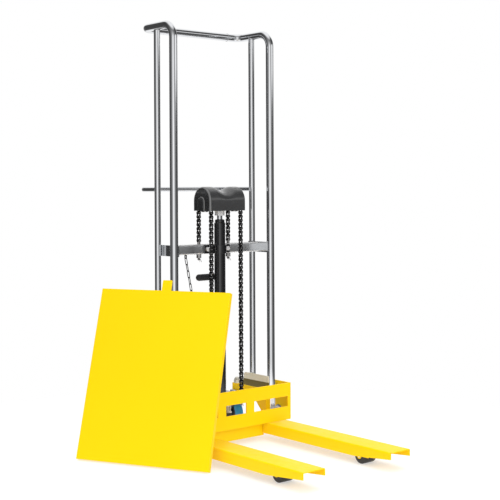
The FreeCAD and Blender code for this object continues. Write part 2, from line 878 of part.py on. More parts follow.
def side_plate():
    outline = [
        (plate_rear, side_plate_bottom), (plate_rear, carriage_top),
        (side_plate_rear, carriage_top, side_plate_corner_r),
        (side_plate_rear, upper_guide_z - side_plate_corner_r),
        (front_x - front_tube_d / 2, side_plate_bottom, side_plate_corner_r),
    ]
    plate = slab(outline, "Y", side_plate_inner, plate_thickness)
    for x, z in guide_places():
        plate = plate.cut(cross_rod(x, z, side_plate_inner, carriage_half, guide_pin_d))
    return plate


def guide_pins():
    far = front_y - guide_roller_width / 2
    pins = [cross_rod(x, z, far, carriage_half, guide_pin_d) for x, z in guide_places()]
    pins += [other_side(pin) for pin in pins]
    return Part.makeCompound(pins)


def guide_roller(x, z):
    half = guide_roller_width / 2
    bore_d = guide_pin_d + 2 * running_fit
    body = cross_rod(x, z, front_y - half, front_y + half, guide_roller_d)
    groove_r = front_tube_d / 2 + touch_gap
    groove = Part.makeTorus(groove_r + guide_throat_r, groove_r, Vector(x, front_y, z), Vector(0, 1, 0))
    return body.cut(groove).cut(cross_rod(x, z, front_y - half, front_y + half, bore_d))


def chain_shelf():
    shelf = box(shelf_rear, plate_rear, -shelf_half, shelf_half, shelf_bottom, shelf_bottom + shelf_thickness)
    rise = carriage_top - shelf_bottom - shelf_thickness
    low = shelf_bottom + shelf_thickness
    for start in (-gusset_y - plate_thickness, gusset_y):
        outline = [(plate_rear, low), (plate_rear, low + rise), (plate_rear - gusset_drop, low)]
        shelf = shelf.fuse(slab(outline, "Y", start, plate_thickness))
    for side in (-1, 1):
        base = Vector(front_strand_x, side * sheave_offset, shelf_bottom)
        hole = rod(base, base + Vector(0, 0, shelf_thickness), anchor_stud_d + hole_clearance)
        shelf = shelf.cut(hole)
    return shelf.removeSplitter()


def fork_section():
    inner = fork_inner
    outer = fork_inner + fork_width
    inside_r = fork_edge_r - fork_sheet
    return [
        (inner, fork_bottom), (inner, fork_top, fork_edge_r),
        (outer, fork_top, fork_edge_r), (outer, fork_bottom),
        (outer - fork_sheet, fork_bottom), (outer - fork_sheet, fork_top - fork_sheet, inside_r),
        (inner + fork_sheet, fork_top - fork_sheet, inside_r), (inner + fork_sheet, fork_bottom),
    ]


def fork():
    channel = slab(fork_section(), "X", plate_front, fork_tip - plate_front)
    under = [(fork_taper_start, fork_bottom), (fork_tip, fork_tip_bottom), (fork_tip, fork_bottom)]
    return channel.cut(slab(under, "Y", fork_inner, fork_width))


def fork_heel():
    return slab(fork_section(), "X", heel_rear, plate_front - heel_rear)


# Pump
def pump_block():
    outline = rectangle(pump_rear, pump_front, -pump_half, pump_half, pump_edge_r)
    block = slab(outline, "Z", base_top, pump_height)
    base = Vector(plunger_x, 0, pump_top)
    top = base + Vector(0, 0, plunger_boss_height)
    block = block.fuse(rod(base, top, plunger_boss_d))
    ear_outline = [
        (lever_pivot_x - lever_ear_r, pump_top), (lever_pivot_x + lever_ear_r, pump_top),
        (lever_pivot_x + lever_ear_r, lever_pivot_z + lever_ear_r, lever_ear_r * 0.9),
        (lever_pivot_x - lever_ear_r, lever_pivot_z + lever_ear_r, lever_ear_r * 0.9),
    ]
    ear_start = lever_hub_width / 2 + touch_gap
    for start in (-ear_start - lever_ear, ear_start):
        block = block.fuse(slab(ear_outline, "Y", start, lever_ear))
    reach = ear_start + lever_ear
    block = block.cut(cross_rod(lever_pivot_x, lever_pivot_z, -reach, reach, lever_pin_d))
    well = rod(Vector(plunger_x, 0, base_top + pump_height / 2), top, plunger_d + 2 * running_fit)
    return block.cut(well).removeSplitter()


def lever_pin():
    reach = lever_hub_width / 2 + touch_gap + lever_ear
    return cross_rod(lever_pivot_x, lever_pivot_z, -reach, reach, lever_pin_d)


def pump_plunger():
    travel = plunger_top - base_top - pump_height
    low = Vector(plunger_x, 0, pump_top)
    return rod(low, low + Vector(0, 0, travel), plunger_d)


def pump_lever():
    half = lever_hub_width / 2
    hub = cross_rod(lever_pivot_x, lever_pivot_z, -half, half, lever_hub_d)
    shaft = rod(Vector(lever_pivot_x, 0, lever_pivot_z), Vector(grip_x, 0, grip_z), lever_rod_d)
    tee_half = grip_half_length - grip_inner
    tee = cross_rod(grip_x, grip_z, grip_offset - tee_half, grip_offset + tee_half, lever_rod_d)
    nose_z = plunger_top + touch_gap + rocker_nose_r
    nose = cross_rod(plunger_x, nose_z, -rocker_nose_r, rocker_nose_r, 2 * rocker_nose_r)
    arm_low = nose_z - rocker_height / 2
    arm = box(plunger_x, lever_pivot_x, -rocker_nose_r, rocker_nose_r, arm_low, arm_low + rocker_height)
    lever = hub.fuse(shaft).fuse(tee).fuse(nose).fuse(arm)
    bore = cross_rod(lever_pivot_x, lever_pivot_z, -half, half, lever_pin_d + 2 * running_fit)
    return lever.cut(bore).removeSplitter()


def lever_grip(length):
    """Grip on the left arm of the tee, its outer end this far from the lever's middle."""
    r = grip_d / 2
    end = length - r
    body = cross_rod(grip_x, grip_z, grip_inner, end, grip_d)
    cap = Part.makeSphere(r, Vector(grip_x, end, grip_z), Vector(0, 1, 0), 0, 90)
    return body.fuse(cap).cut(cross_rod(grip_x, grip_z, 0, length - grip_inner, lever_rod_d))


def lever_grips():
    left = lever_grip(grip_half_length + grip_offset)
    right = other_side(lever_grip(grip_half_length - grip_offset))
    return Part.makeCompound([left, right])


def release_post():
    half = release_post_depth / 2
    slot = release_arm / 2 + touch_gap
    y0 = release_pivot_y - release_post_width / 2
    y1 = release_pivot_y + release_post_width / 2
    top = release_pivot_z + release_hub_r
    post = box(release_x - half, release_x + half, y0, y1, pump_top, top)
    room = release_pivot_z - release_hub_r - hole_clearance
    post = post.cut(box(release_x - slot, release_x + slot, y0, y1, room, top))
    low = Vector(release_x - half, release_pivot_y, release_pivot_z)
    return post.cut(rod(low, low + Vector(release_post_depth, 0, 0), release_pin_d))


def release_pin():
    half = release_post_depth / 2
    low = Vector(release_x - half, release_pivot_y, release_pivot_z)
    return rod(low, low + Vector(release_post_depth, 0, 0), release_pin_d)


def release_lever():
    start = release_x - release_arm / 2
    pivot = Vector(start, release_pivot_y, release_pivot_z)
    eye = Vector(start, release_eye_y, release_eye_z)
    thick = Vector(release_arm, 0, 0)
    along = (eye - pivot).normalize()
    across = Vector(0, -along.z, along.y) * (release_eye_r * 0.7)
    points = [pivot + across, eye + across, eye - across, pivot - across]
    arm = Part.Face(Part.makePolygon(points + points[:1])).extrude(thick)
    arm = arm.fuse(rod(pivot, pivot + thick, 2 * release_hub_r))
    arm = arm.fuse(rod(eye, eye + thick, 2 * release_eye_r))
    arm = arm.cut(rod(pivot, pivot + thick, release_pin_d + 2 * running_fit))
    return arm.cut(rod(eye, eye + thick, release_eye_hole)).removeSplitter()


def release_hook():
    half = hook_width / 2
    low = hook_eye_z - half
    outline = [
        (release_x - half, bar_bottom), (release_x - half, low, half * 0.9),
        (release_x + half, low, half * 0.9), (release_x + half, bar_bottom),
    ]
    hook = slab(outline, "Y", hook_y - hook_thickness / 2, hook_thickness)
    reach = hook_thickness / 2
    return hook.cut(cross_rod(release_x, hook_eye_z, hook_y - reach, hook_y + reach, release_eye_hole))


def welded_link(length):
    """One link of square wire, lying along Z and wide along X."""
    wire = link_wire
    outer_half = link_gap_width / 2 + wire
    outer_long = length / 2 + wire
    outside = [
        (outer_half, -outer_long + wire), (outer_half, outer_long - wire), (outer_half - wire, outer_long),
        (wire - outer_half, outer_long), (-outer_half, outer_long - wire), (-outer_half, wire - outer_long),
        (wire - outer_half, -outer_long), (outer_half - wire, -outer_long),
    ]
    inside = rectangle(-link_gap_width / 2, link_gap_width / 2, -length / 2, length / 2)
    return slab(outside, "Y", -wire / 2, wire, [inside])


def release_chain():
    seat = release_eye_hole / 2 - link_seat
    top = Vector(release_x, hook_y, hook_eye_z - seat)
    bottom = Vector(release_x, release_eye_y, release_eye_z + seat)
    along = bottom - top
    spacing = along.Length / release_links
    along.normalize()
    upright = FreeCAD.Rotation(Vector(0, 0, 1), along * -1)
    link = welded_link(spacing + link_play)
    links = []
    for i in range(release_links):
        turn = FreeCAD.Rotation(Vector(0, 0, 1), 90 if i % 2 == 0 else 0)
        place = FreeCAD.Placement(top + along * (spacing * (i + 0.5)), upright.multiply(turn))
        copy = link.copy()
        copy.Placement = place
        links.append(copy)
    return Part.makeCompound(links)


# Loose platform
def platform_lean():
    """Angle from upright at which the top flange's edge meets the right front tube."""
    yaw = math.radians(platform_yaw)
    dx = front_x - platform_corner_x
    dy = -front_y - platform_corner_y
    room = dy * math.cos(yaw) - dx * math.sin(yaw) - front_tube_d / 2 - touch_gap
    reach = math.hypot(platform_length, platform_flange)
    return math.asin(room / reach) - math.atan2(platform_flange, platform_length)


def platform():
    sheet = platform_sheet
    tray = box(0, platform_width, 0, platform_flange, 0, platform_length)
    inside = box(sheet, platform_width - sheet, sheet, platform_flange, sheet, platform_length - sheet)
    tray = tray.cut(inside)
    uprights = [edge for edge in tray.Edges if abs(edge.Length - platform_length) < 1e-6]
    fronts = [edge for edge in uprights if edge.BoundBox.YMax < 1e-6]
    tray = tray.makeFillet(platform_fold_r, fronts)
    tab_end = platform_tab_start + platform_tab_width
    tab_outline = [
        (platform_tab_start, platform_length), (tab_end, platform_length),
        (tab_end, platform_length + platform_tab_length, platform_tab_r),
        (platform_tab_start, platform_length + platform_tab_length, platform_tab_r),
    ]
    tray = tray.fuse(slab(tab_outline, "Y", 0, sheet)).removeSplitter()
    lean = platform_lean()
    corner = Vector(platform_corner_x, platform_corner_y, platform_flange * math.sin(lean))
    turn = FreeCAD.Rotation(Vector(0, 0, 1), platform_yaw)
    tip = FreeCAD.Rotation(Vector(1, 0, 0), -math.degrees(lean))
    tray.Placement = FreeCAD.Placement(corner, turn.multiply(tip))
    return tray


def add_pair(name, shape):
    parts["left_" + name] = shape
    parts["right_" + name] = other_side(shape)


# The machine's left is on the operator's left, +Y.
tube = mast_tube()
add_pair("mast_tube", tube)
parts["top_crossbar"] = cross_rod(
    -hoop_reach, hoop_z, -crossbar_half_length, crossbar_half_length, front_tube_d
)
parts["rear_tubes"] = both_sides(rear_tube(tube))
parts["lower_handle"] = lower_handle(parts["rear_tubes"])
parts["upper_cross_bar"] = upper_cross_bar()
parts["tube_straps"] = both_sides(Part.makeCompound([upper_strap(), foot_bracket()]))

parts["legs"] = both_sides(leg())
parts["base_cross_member"] = base_cross_member()
parts["mast_feet"] = both_sides(mast_foot())
parts["side_frames"] = both_sides(side_frame())
add_pair("load_wheel", load_wheel())
parts["load_axles"] = both_sides(load_axle())

parts["castor_housings"] = both_sides(castor_housing())
parts["castor_stems"] = both_sides(castor_stem())
add_pair("castor_fork", Part.makeCompound([castor_fork(), castor_pins()]))
add_pair("castor_hub", castor_hub())
add_pair("castor_tyre", castor_tyre())
add_pair("brake_pedal", brake_pedal())

parts["cylinder_barrel"] = cylinder_barrel()
parts["cylinder_gland"] = cylinder_gland()
parts["piston_rod"] = piston_rod()
parts["head_yoke"] = Part.makeCompound([head_yoke(), sheave_axle()])
add_pair("sheave", sheave())
parts["cylinder_clamp"] = cylinder_clamp()
parts["clamp_bolts"] = clamp_bolts()
parts["chain_cover"] = chain_cover()

parts["front_chains"] = both_sides(front_chain(sheave_offset))
parts["chain_wraps"] = both_sides(chain_wrap(sheave_offset))
parts["rear_chains"] = both_sides(rear_chain(sheave_offset))
front_anchor = chain_anchor(front_strand_x, sheave_offset, front_anchor_z, shelf_top, shelf_bottom)
rear_anchor = chain_anchor(rear_strand_x, sheave_offset, rear_anchor_z, bar_top, bar_bottom)
parts["front_chain_anchors"] = both_sides(front_anchor)
parts["rear_chain_anchors"] = both_sides(rear_anchor)

parts["carriage_plate"] = carriage_plate()
parts["side_plates"] = both_sides(side_plate())
parts["guide_pins"] = guide_pins()
for height, place in zip(("upper", "lower"), guide_places()):
    add_pair(height + "_guide_roller", guide_roller(*place))
parts["chain_shelf"] = chain_shelf()
add_pair("fork", fork())
parts["fork_heels"] = both_sides(fork_heel())

parts["pump_block"] = pump_block()
parts["pivot_pins"] = Part.makeCompound([lever_pin(), release_pin()])
parts["pump_plunger"] = pump_plunger()
parts["pump_lever"] = pump_lever()
parts["lever_grips"] = lever_grips()
parts["release_post"] = release_post()
parts["release_lever"] = release_lever()
parts["release_hook"] = release_hook()
parts["release_chain"] = release_chain()
parts["platform"] = platform()

# The origin is on the floor, in the middle of the whole object's footprint.
limits = FreeCAD.BoundBox()
for shape in parts.values():
    limits.add(shape.optimalBoundingBox(False, False))
origin = Vector(limits.Center.x, limits.Center.y, limits.ZMin)

os.makedirs("parts", exist_ok=True)
for name, shape in parts.items():
    shape.translate(origin * -1)
    shape.exportStep("parts/" + name + ".step")

print("nodes", len(parts))
print("origin from the mast's middle", origin)
print("size", limits.XLength, limits.YLength, limits.ZLength)
print("lean", math.degrees(platform_lean()))
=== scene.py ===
import json
import math

import bmesh
import bpy
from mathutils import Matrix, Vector


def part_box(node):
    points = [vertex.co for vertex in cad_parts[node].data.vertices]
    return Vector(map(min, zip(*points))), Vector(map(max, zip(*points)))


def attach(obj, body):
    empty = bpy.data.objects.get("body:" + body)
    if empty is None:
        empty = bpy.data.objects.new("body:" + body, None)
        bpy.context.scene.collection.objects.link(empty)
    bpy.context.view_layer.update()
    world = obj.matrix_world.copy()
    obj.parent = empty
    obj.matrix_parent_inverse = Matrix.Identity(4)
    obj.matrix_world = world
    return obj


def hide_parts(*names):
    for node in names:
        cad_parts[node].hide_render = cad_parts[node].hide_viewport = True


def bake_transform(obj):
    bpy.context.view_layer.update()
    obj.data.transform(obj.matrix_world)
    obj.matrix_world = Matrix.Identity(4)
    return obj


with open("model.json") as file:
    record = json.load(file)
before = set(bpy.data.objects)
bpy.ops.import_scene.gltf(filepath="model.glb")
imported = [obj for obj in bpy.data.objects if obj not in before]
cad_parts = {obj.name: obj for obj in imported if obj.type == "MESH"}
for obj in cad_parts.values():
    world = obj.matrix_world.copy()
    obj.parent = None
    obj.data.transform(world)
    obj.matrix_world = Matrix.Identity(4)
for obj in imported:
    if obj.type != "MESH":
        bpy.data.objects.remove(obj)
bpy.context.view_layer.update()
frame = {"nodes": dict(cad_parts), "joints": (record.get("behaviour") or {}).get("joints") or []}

UP = Vector((0, 0, 1))
ACROSS = Vector((0, 1, 0))
FORWARD = Vector((1, 0, 0))
SIDES = {"left": 1, "right": -1}
SHARP_DEGREES = 38


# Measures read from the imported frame
def centre(node):
    low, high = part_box(node)
    return (low + high) / 2


def size(node):
    low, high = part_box(node)
    return high - low


def joint_place(name):
    return Vector(next(j["pos_m"] for j in frame["joints"] if j["name"] == name))


middle_y = centre("carriage_plate").y
tube_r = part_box("left_mast_tube")[1].z - centre("top_crossbar").z
crossbar_r = size("top_crossbar").z / 2
rear_tube_r = size("rear_tubes").x / 2
handle_r = size("lower_handle").z / 2
barrel_axis = centre("cylinder_barrel")
bracket_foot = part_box("tube_straps")[0].z

# Bend radii of the tubes
hoop_bend = 0.055
hoop_corner = 0.040
handle_corner = 0.040


# Camera, fitted to the photograph
mast_x = (centre("rear_tubes").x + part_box("left_mast_tube")[1].x - tube_r) / 2
camera_place = Vector((mast_x + 3.5656, middle_y - 2.7850, 1.0261))
camera_azimuth = math.radians(50.21)
camera_lens = 80.45
camera_shift = -0.125
camera_roll = math.radians(0.28)


def make_camera():
    data = bpy.data.cameras.new("camera")
    data.lens = camera_lens
    data.sensor_width = 36.0
    data.shift_y = camera_shift
    data.clip_end = 100.0
    camera = bpy.data.objects.new("camera", data)
    camera.location = camera_place
    camera.rotation_euler = (math.pi / 2, camera_roll, camera_azimuth)
    bpy.context.scene.collection.objects.link(camera)
    bpy.context.scene.camera = camera


# Node helpers
class Nodes:
    """Short ways to add nodes to a node tree."""

    def __init__(self, tree):
        self.tree = tree

    def add(self, kind, **settings):
        node = self.tree.nodes.new(kind)
        for key, value in settings.items():
            setattr(node, key, value)
        return node

    def link(self, source, target):
        self.tree.links.new(source, target)

    def remap(self, value, low, high, start=0.3, end=0.7):
        node = self.add("ShaderNodeMapRange")
        node.inputs["From Min"].default_value = start
        node.inputs["From Max"].default_value = end
        node.inputs["To Min"].default_value = low
        node.inputs["To Max"].default_value = high
        self.link(value, node.inputs["Value"])
        return node.outputs["Result"]

    def mix(self, factor, first, second):
        """Two colours mixed. Each is plain or comes from other nodes."""
        node = self.add("ShaderNodeMix", data_type="RGBA")
        self.link(factor, node.inputs["Factor"])
        for name, colour in (("A", first), ("B", second)):
            if isinstance(colour, tuple):
                node.inputs[name].default_value = (*colour, 1)
            else:
                self.link(colour, node.inputs[name])
        return node.outputs["Result"]

    def part(self, vector, axis):
        node = self.add("ShaderNodeSeparateXYZ")
        self.link(vector, node.inputs["Vector"])
        return node.outputs[axis]

    def math(self, operation, *values):
        node = self.add("ShaderNodeMath", operation=operation)
        for i, value in enumerate(values):
            if isinstance(value, (int, float)):
                node.inputs[i].default_value = value
            else:
                self.link(value, node.inputs[i])
        return node.outputs["Value"]

    def reach(self, vector, direction):
        """How far a vector reaches in a direction."""
        node = self.add("ShaderNodeVectorMath", operation="DOT_PRODUCT")
        node.inputs[1].default_value = direction
        self.link(vector, node.inputs[0])
        return node.outputs["Value"]


class Shader(Nodes):
    """A material with one principled shader."""

    def __init__(self, name, colour, roughness, metallic=0.0):
        self.material = bpy.data.materials.new(name)
        self.material.use_nodes = True
        super().__init__(self.material.node_tree)
        self.bsdf = self.tree.nodes["Principled BSDF"]
        self.bsdf.inputs["Base Color"].default_value = (*colour, 1)
        self.bsdf.inputs["Roughness"].default_value = roughness
        self.bsdf.inputs["Metallic"].default_value = metallic
        self.coords = self.add("ShaderNodeTexCoord").outputs["Object"]

    def noise(self, scale, detail=3.0, stretch=(1, 1, 1)):
        mapping = self.add("ShaderNodeMapping")
        mapping.inputs["Scale"].default_value = stretch
        texture = self.add("ShaderNodeTexNoise")
        texture.inputs["Scale"].default_value = scale
        texture.inputs["Detail"].default_value = detail
        self.link(self.coords, mapping.inputs["Vector"])
        self.link(mapping.outputs["Vector"], texture.inputs["Vector"])
        return texture.outputs["Fac"]

    def colour(self, output):
        self.link(output, self.bsdf.inputs["Base Color"])

    def roughness(self, output):
        self.link(output, self.bsdf.inputs["Roughness"])

    def bump(self, height, strength, distance):
        node = self.add("ShaderNodeBump")
        node.inputs["Strength"].default_value = strength
        node.inputs["Distance"].default_value = distance
        self.link(height, node.inputs["Height"])
        self.link(node.outputs["Normal"], self.bsdf.inputs["Normal"])

    def coat(self, weight, roughness):
        self.bsdf.inputs["Coat Weight"].default_value = weight
        self.bsdf.inputs["Coat Roughness"].default_value = roughness


# Materials
def chrome(name, roughness):
    shader = Shader(name, (0.80, 0.81, 0.83), roughness, 1.0)
    smear = shader.noise(14.0, 4.0, (1, 1, 0.25))
    shader.roughness(shader.remap(smear, roughness * 0.6, roughness * 1.6))
    shader.colour(shader.mix(shader.noise(5.0), (0.76, 0.77, 0.79), (0.84, 0.85, 0.87)))
    shader.bump(shader.noise(260.0, 2.0), 0.02, 0.0004)
    return shader.material


def strap_plating():
    """Chrome on the upper straps, and cream zinc on the foot brackets with a band of painted shade along
    their foot.
    """
    shader = Shader("strap_chrome", (0.80, 0.81, 0.83), 0.12, 1.0)
    height = shader.part(shader.coords, "Z")
    divide = 0.45
    upper = shader.remap(height, 0.0, 1.0, divide, divide + 0.01)
    cream = shader.mix(shader.noise(30.0, 4.0), (0.72, 0.69, 0.56), (0.83, 0.81, 0.70))
    # Painted shade: a dark band 24 mm high along the foot of the brackets
    shade_band_top = bracket_foot + 0.024
    above_shade_band = shader.remap(height, 0.0, 1.0, shade_band_top - 0.001, shade_band_top)
    bracket = shader.mix(above_shade_band, (0.17, 0.14, 0.05), cream)
    plated = shader.mix(shader.noise(5.0), (0.60, 0.61, 0.62), (0.68, 0.69, 0.70))
    shader.colour(shader.mix(upper, bracket, plated))
    shader.link(upper, shader.bsdf.inputs["Metallic"])
    shader.roughness(shader.remap(upper, 0.34, 0.13, 0.0, 1.0))
    shader.bump(shader.noise(260.0, 2.0), 0.03, 0.0004)
    return shader.material


def bar_plating():
    """Chrome of the cross bar, with a painted highlight where it faces up or down and on its rounded edges,
    which are also duller.
    """
    shader = Shader("bar_chrome", (0.84, 0.84, 0.85), 0.20, 1.0)
    normal = shader.add("ShaderNodeNewGeometry").outputs["Normal"]
    slope = shader.math("ABSOLUTE", shader.part(normal, "Z"))
    # Painted highlight: lighter colour where the bar faces up or down and round its edges
    edge = shader.remap(slope, 0.0, 1.0, 0.15, 0.45)
    shader.colour(shader.mix(edge, (0.80, 0.81, 0.82), (0.97, 0.97, 0.97)))
    shader.roughness(shader.remap(edge, 0.30, 0.60, 0.0, 1.0))
    shader.bump(shader.noise(260.0, 2.0), 0.03, 0.0004)
    return shader.material


def yellow_paint():
    shader = Shader("yellow_enamel", (1.0, 0.66, 0.0), 0.42)
    shader.bsdf.inputs["Specular IOR Level"].default_value = 0.12
    tint = shader.mix(shader.noise(4.0, 4.0), (1.0, 0.648, 0.0), (1.0, 0.680, 0.0))
    shader.colour(tint)
    shader.roughness(shader.remap(shader.noise(35.0), 0.34, 0.46))
    shader.bump(shader.noise(620.0, 2.0), 0.10, 0.0005)
    shader.coat(0.05, 0.16)
    return shader.material


def black_paint():
    shader = Shader("black_enamel", (0.005, 0.005, 0.006), 0.34)
    shader.colour(shader.mix(shader.noise(9.0, 4.0), (0.003, 0.003, 0.004), (0.007, 0.007, 0.008)))
    shader.roughness(shader.remap(shader.noise(45.0), 0.26, 0.40))
    shader.bump(shader.noise(520.0, 2.0), 0.08, 0.0005)
    shader.bsdf.inputs["Specular IOR Level"].default_value = 0.1
    shader.bsdf.inputs["Coat IOR"].default_value = 1.7
    shader.coat(1.0, 0.10)
    return shader.material


def moulded_plastic():
    """Black plastic, with painted shade on the end faces and a painted highlight round their rims."""
    shader = Shader("moulded_plastic", (0.030, 0.030, 0.031), 0.32)
    shader.bsdf.inputs["Specular IOR Level"].default_value = 0.8
    low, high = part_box("chain_cover")
    end_start = (high.y - low.y) / 2 - 0.016
    from_middle = shader.math("ABSOLUTE", shader.math("SUBTRACT", shader.part(shader.coords, "Y"), middle_y))
    near_end = shader.remap(from_middle, 0.0, 1.0, end_start, end_start + 0.002)
    normal = shader.add("ShaderNodeNewGeometry").outputs["Normal"]
    facing = shader.math("ABSOLUTE", shader.part(normal, "Y"))
    rising = shader.remap(facing, 0.0, 1.0, 0.25, 0.55)
    flat_end = shader.remap(facing, 0.0, 1.0, 0.82, 0.96)
    # Painted highlight on the rims round the end faces, and painted shade on the flat end faces
    rim = shader.math("MULTIPLY", near_end, shader.math("SUBTRACT", rising, flat_end))
    skin = shader.mix(shader.noise(18.0, 5.0), (0.025, 0.025, 0.026), (0.036, 0.036, 0.037))
    shaded_ends = shader.mix(flat_end, skin, (0.011, 0.011, 0.012))
    shader.colour(shader.mix(rim, shaded_ends, (0.13, 0.13, 0.13)))
    shader.roughness(shader.remap(shader.noise(70.0), 0.27, 0.38))
    shader.bump(shader.noise(1400.0, 4.0), 0.12, 0.0004)
    shader.coat(0.6, 0.14)
    return shader.material


def grip_rubber():
    shader = Shader("grip_rubber", (0.016, 0.016, 0.017), 0.62)
    shader.colour(shader.mix(shader.noise(30.0), (0.013, 0.013, 0.014), (0.021, 0.021, 0.022)))
    shader.bump(shader.noise(900.0, 3.0), 0.25, 0.0004)
    return shader.material


def black_nylon():
    shader = Shader("black_nylon", (0.018, 0.018, 0.019), 0.45)
    shader.colour(shader.mix(shader.noise(40.0, 5.0), (0.014, 0.014, 0.015), (0.028, 0.027, 0.026)))
    shader.roughness(shader.remap(shader.noise(90.0), 0.36, 0.58))
    shader.bump(shader.noise(420.0, 4.0), 0.18, 0.0005)
    return shader.material


def blue_tyre():
    shader = Shader("blue_rubber", (0.016, 0.235, 0.470), 0.38)
    shader.colour(shader.mix(shader.noise(25.0, 4.0), (0.014, 0.215, 0.430), (0.022, 0.260, 0.510)))
    shader.roughness(shader.remap(shader.noise(60.0), 0.32, 0.48))
    shader.bump(shader.noise(300.0, 3.0), 0.10, 0.0005)
    return shader.material


def oiled_steel(name, dark, light, roughness):
    shader = Shader(name, dark, roughness, 1.0)
    shader.colour(shader.mix(shader.noise(55.0, 5.0), dark, light))
    shader.roughness(shader.remap(shader.noise(130.0), roughness * 0.75, roughness * 1.3))
    shader.bump(shader.noise(800.0, 2.0), 0.08, 0.0003)
    return shader.material


def zinc(name, dark, light, metallic):
    shader = Shader(name, dark, 0.30, metallic)
    shader.colour(shader.mix(shader.noise(45.0, 5.0), dark, light))
    shader.roughness(shader.remap(shader.noise(120.0, 4.0), 0.22, 0.42))
    shader.bump(shader.noise(700.0, 2.0), 0.06, 0.0003)
    return shader.material


def cast_black():
    shader = Shader("black_casting", (0.018, 0.018, 0.019), 0.50)
    shader.colour(shader.mix(shader.noise(30.0, 5.0), (0.013, 0.013, 0.014), (0.026, 0.026, 0.027)))
    shader.roughness(shader.remap(shader.noise(80.0), 0.42, 0.60))
    shader.bump(shader.noise(330.0, 5.0), 0.30, 0.0006)
    return shader.material


CHROME = chrome("chrome", 0.07)
STRAP_CHROME = strap_plating()
BAR_CHROME = bar_plating()
ROD_CHROME = chrome("hard_chrome", 0.05)
YELLOW = yellow_paint()
BLACK = black_paint()
PLASTIC = moulded_plastic()
GRIP = grip_rubber()
NYLON = black_nylon()
BLUE = blue_tyre()
CHAIN_PLATE = oiled_steel("chain_plate", (0.018, 0.018, 0.018), (0.055, 0.054, 0.053), 0.30)
CHAIN_PIN = oiled_steel("chain_pin", (0.40, 0.39, 0.38), (0.62, 0.61, 0.60), 0.22)
STEEL = oiled_steel("machined_steel", (0.34, 0.33, 0.32), (0.50, 0.49, 0.48), 0.28)
ZINC = zinc("zinc", (0.60, 0.58, 0.50), (0.76, 0.74, 0.67), 0.6)
BRIGHT_ZINC = zinc("bright_zinc", (0.74, 0.74, 0.75), (0.88, 0.88, 0.89), 0.3)
CAST = cast_black()


# Mesh helpers
def new_piece(name, mesh_builder, materials, body=None, replaces=(), sharp=SHARP_DEGREES):
    """Object from a bmesh, shaded smooth with sharp edges kept, riding on a body."""
    mesh = bpy.data.meshes.new(name)
    bmesh.ops.recalc_face_normals(mesh_builder, faces=mesh_builder.faces)
    mesh_builder.to_mesh(mesh)
    mesh_builder.free()
    for material in materials:
        mesh.materials.append(material)
    mesh.polygons.foreach_set("use_smooth", [True] * len(mesh.polygons))
    mesh.set_sharp_from_angle(angle=math.radians(sharp))
    piece = bpy.data.objects.new(name, mesh)
    bpy.context.scene.collection.objects.link(piece)
    if body:
        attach(piece, body)
    if replaces:
        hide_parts(*replaces)
    return piece


def axes_for(direction):
    """Two unit vectors square to a direction."""
    along = direction.normalized()
    guide = UP if abs(along.z) < 0.9 else FORWARD
    first = guide.cross(along).normalized()
    return first, along.cross(first)


def ring_points(middle, first, second, radius, sides):
    angles = [2 * math.pi * i / sides for i in range(sides)]
    return [middle + radius * (first * math.cos(a) + second * math.sin(a)) for a in angles]


def bridge(bm, rings, closed=False, material=0):
    """Quads between neighbouring rings of vertices."""
    pairs = list(zip(rings, rings[1:]))
    if closed:
        pairs.append((rings[-1], rings[0]))
    for lower, upper in pairs:
        count = len(lower)
        for i in range(count):
            j = (i + 1) % count
            face = bm.faces.new((lower[i], lower[j], upper[j], upper[i]))
            face.material_index = material


def cap(bm, ring, material=0):
    bm.faces.new(ring).material_index = material


def lathe(bm, profile, middle, axis, sides=64, material=0, bored=False):
    """Turned solid from (radius, along) pairs. A bored one closes on itself instead of being capped."""
    first, second = axes_for(axis)
    along = axis.normalized()
    rings = []
    for radius, distance in profile:
        points = ring_points(middle + along * distance, first, second, radius, sides)
        rings.append([bm.verts.new(p) for p in points])
    bridge(bm, rings, bored, material)
    if not bored:
        cap(bm, rings[0], material)
        cap(bm, rings[-1], material)


def mirrored(profile):
    """A profile followed by its reflection, for a piece that is alike on both sides."""
    return profile + [(radius, -distance) for radius, distance in reversed(profile)]


def rounded_path(corners, radii, steps=14):
    """Points along straight runs joined by arcs of the given radii."""
    path = [Vector(corners[0])]
    for i in range(1, len(corners) - 1):
        here = Vector(corners[i])
        back = (Vector(corners[i - 1]) - here).normalized()
        ahead = (Vector(corners[i + 1]) - here).normalized()
        half = back.angle(ahead) / 2
        radius = radii[i - 1]
        hub = here + (back + ahead).normalized() * (radius / math.sin(half))
        start = here + back * (radius / math.tan(half)) - hub
        end = here + ahead * (radius / math.tan(half)) - hub
        turn = start.angle(end)
        for k in range(steps + 1):
            t = k / steps
            spoke = start * math.sin((1 - t) * turn) + end * math.sin(t * turn)
            path.append(hub + spoke / math.sin(turn))
    path.append(Vector(corners[-1]))
    return path


def sweep(bm, path, radius, sides, closed=False, ripple=None):
    """Round tube along a path. The ripple gives each ring its share of the radius."""
    rings = []
    count = len(path)
    previous = None
    for i, point in enumerate(path):
        before = path[i - 1] if i or closed else path[0]
        after = path[(i + 1) % count] if i < count - 1 or closed else path[-1]
        along = (after - before).normalized()
        if previous is None:
            first, second = axes_for(along)
        else:
            first = (previous - along * previous.dot(along)).normalized()
            second = along.cross(first)
        previous = first
        share = ripple(i) if ripple else 1.0
        rings.append([bm.verts.new(p) for p in ring_points(point, first, second, radius * share, sides)])
    bridge(bm, rings, closed)
    if not closed:
        cap(bm, rings[0])
        cap(bm, rings[-1])


def tube_piece(name, corners, radii, radius, material, body, replaces=(), sides=48):
    bm = bmesh.new()
    sweep(bm, rounded_path(corners, radii), radius, sides)
    return new_piece(name, bm, [material], body, replaces)


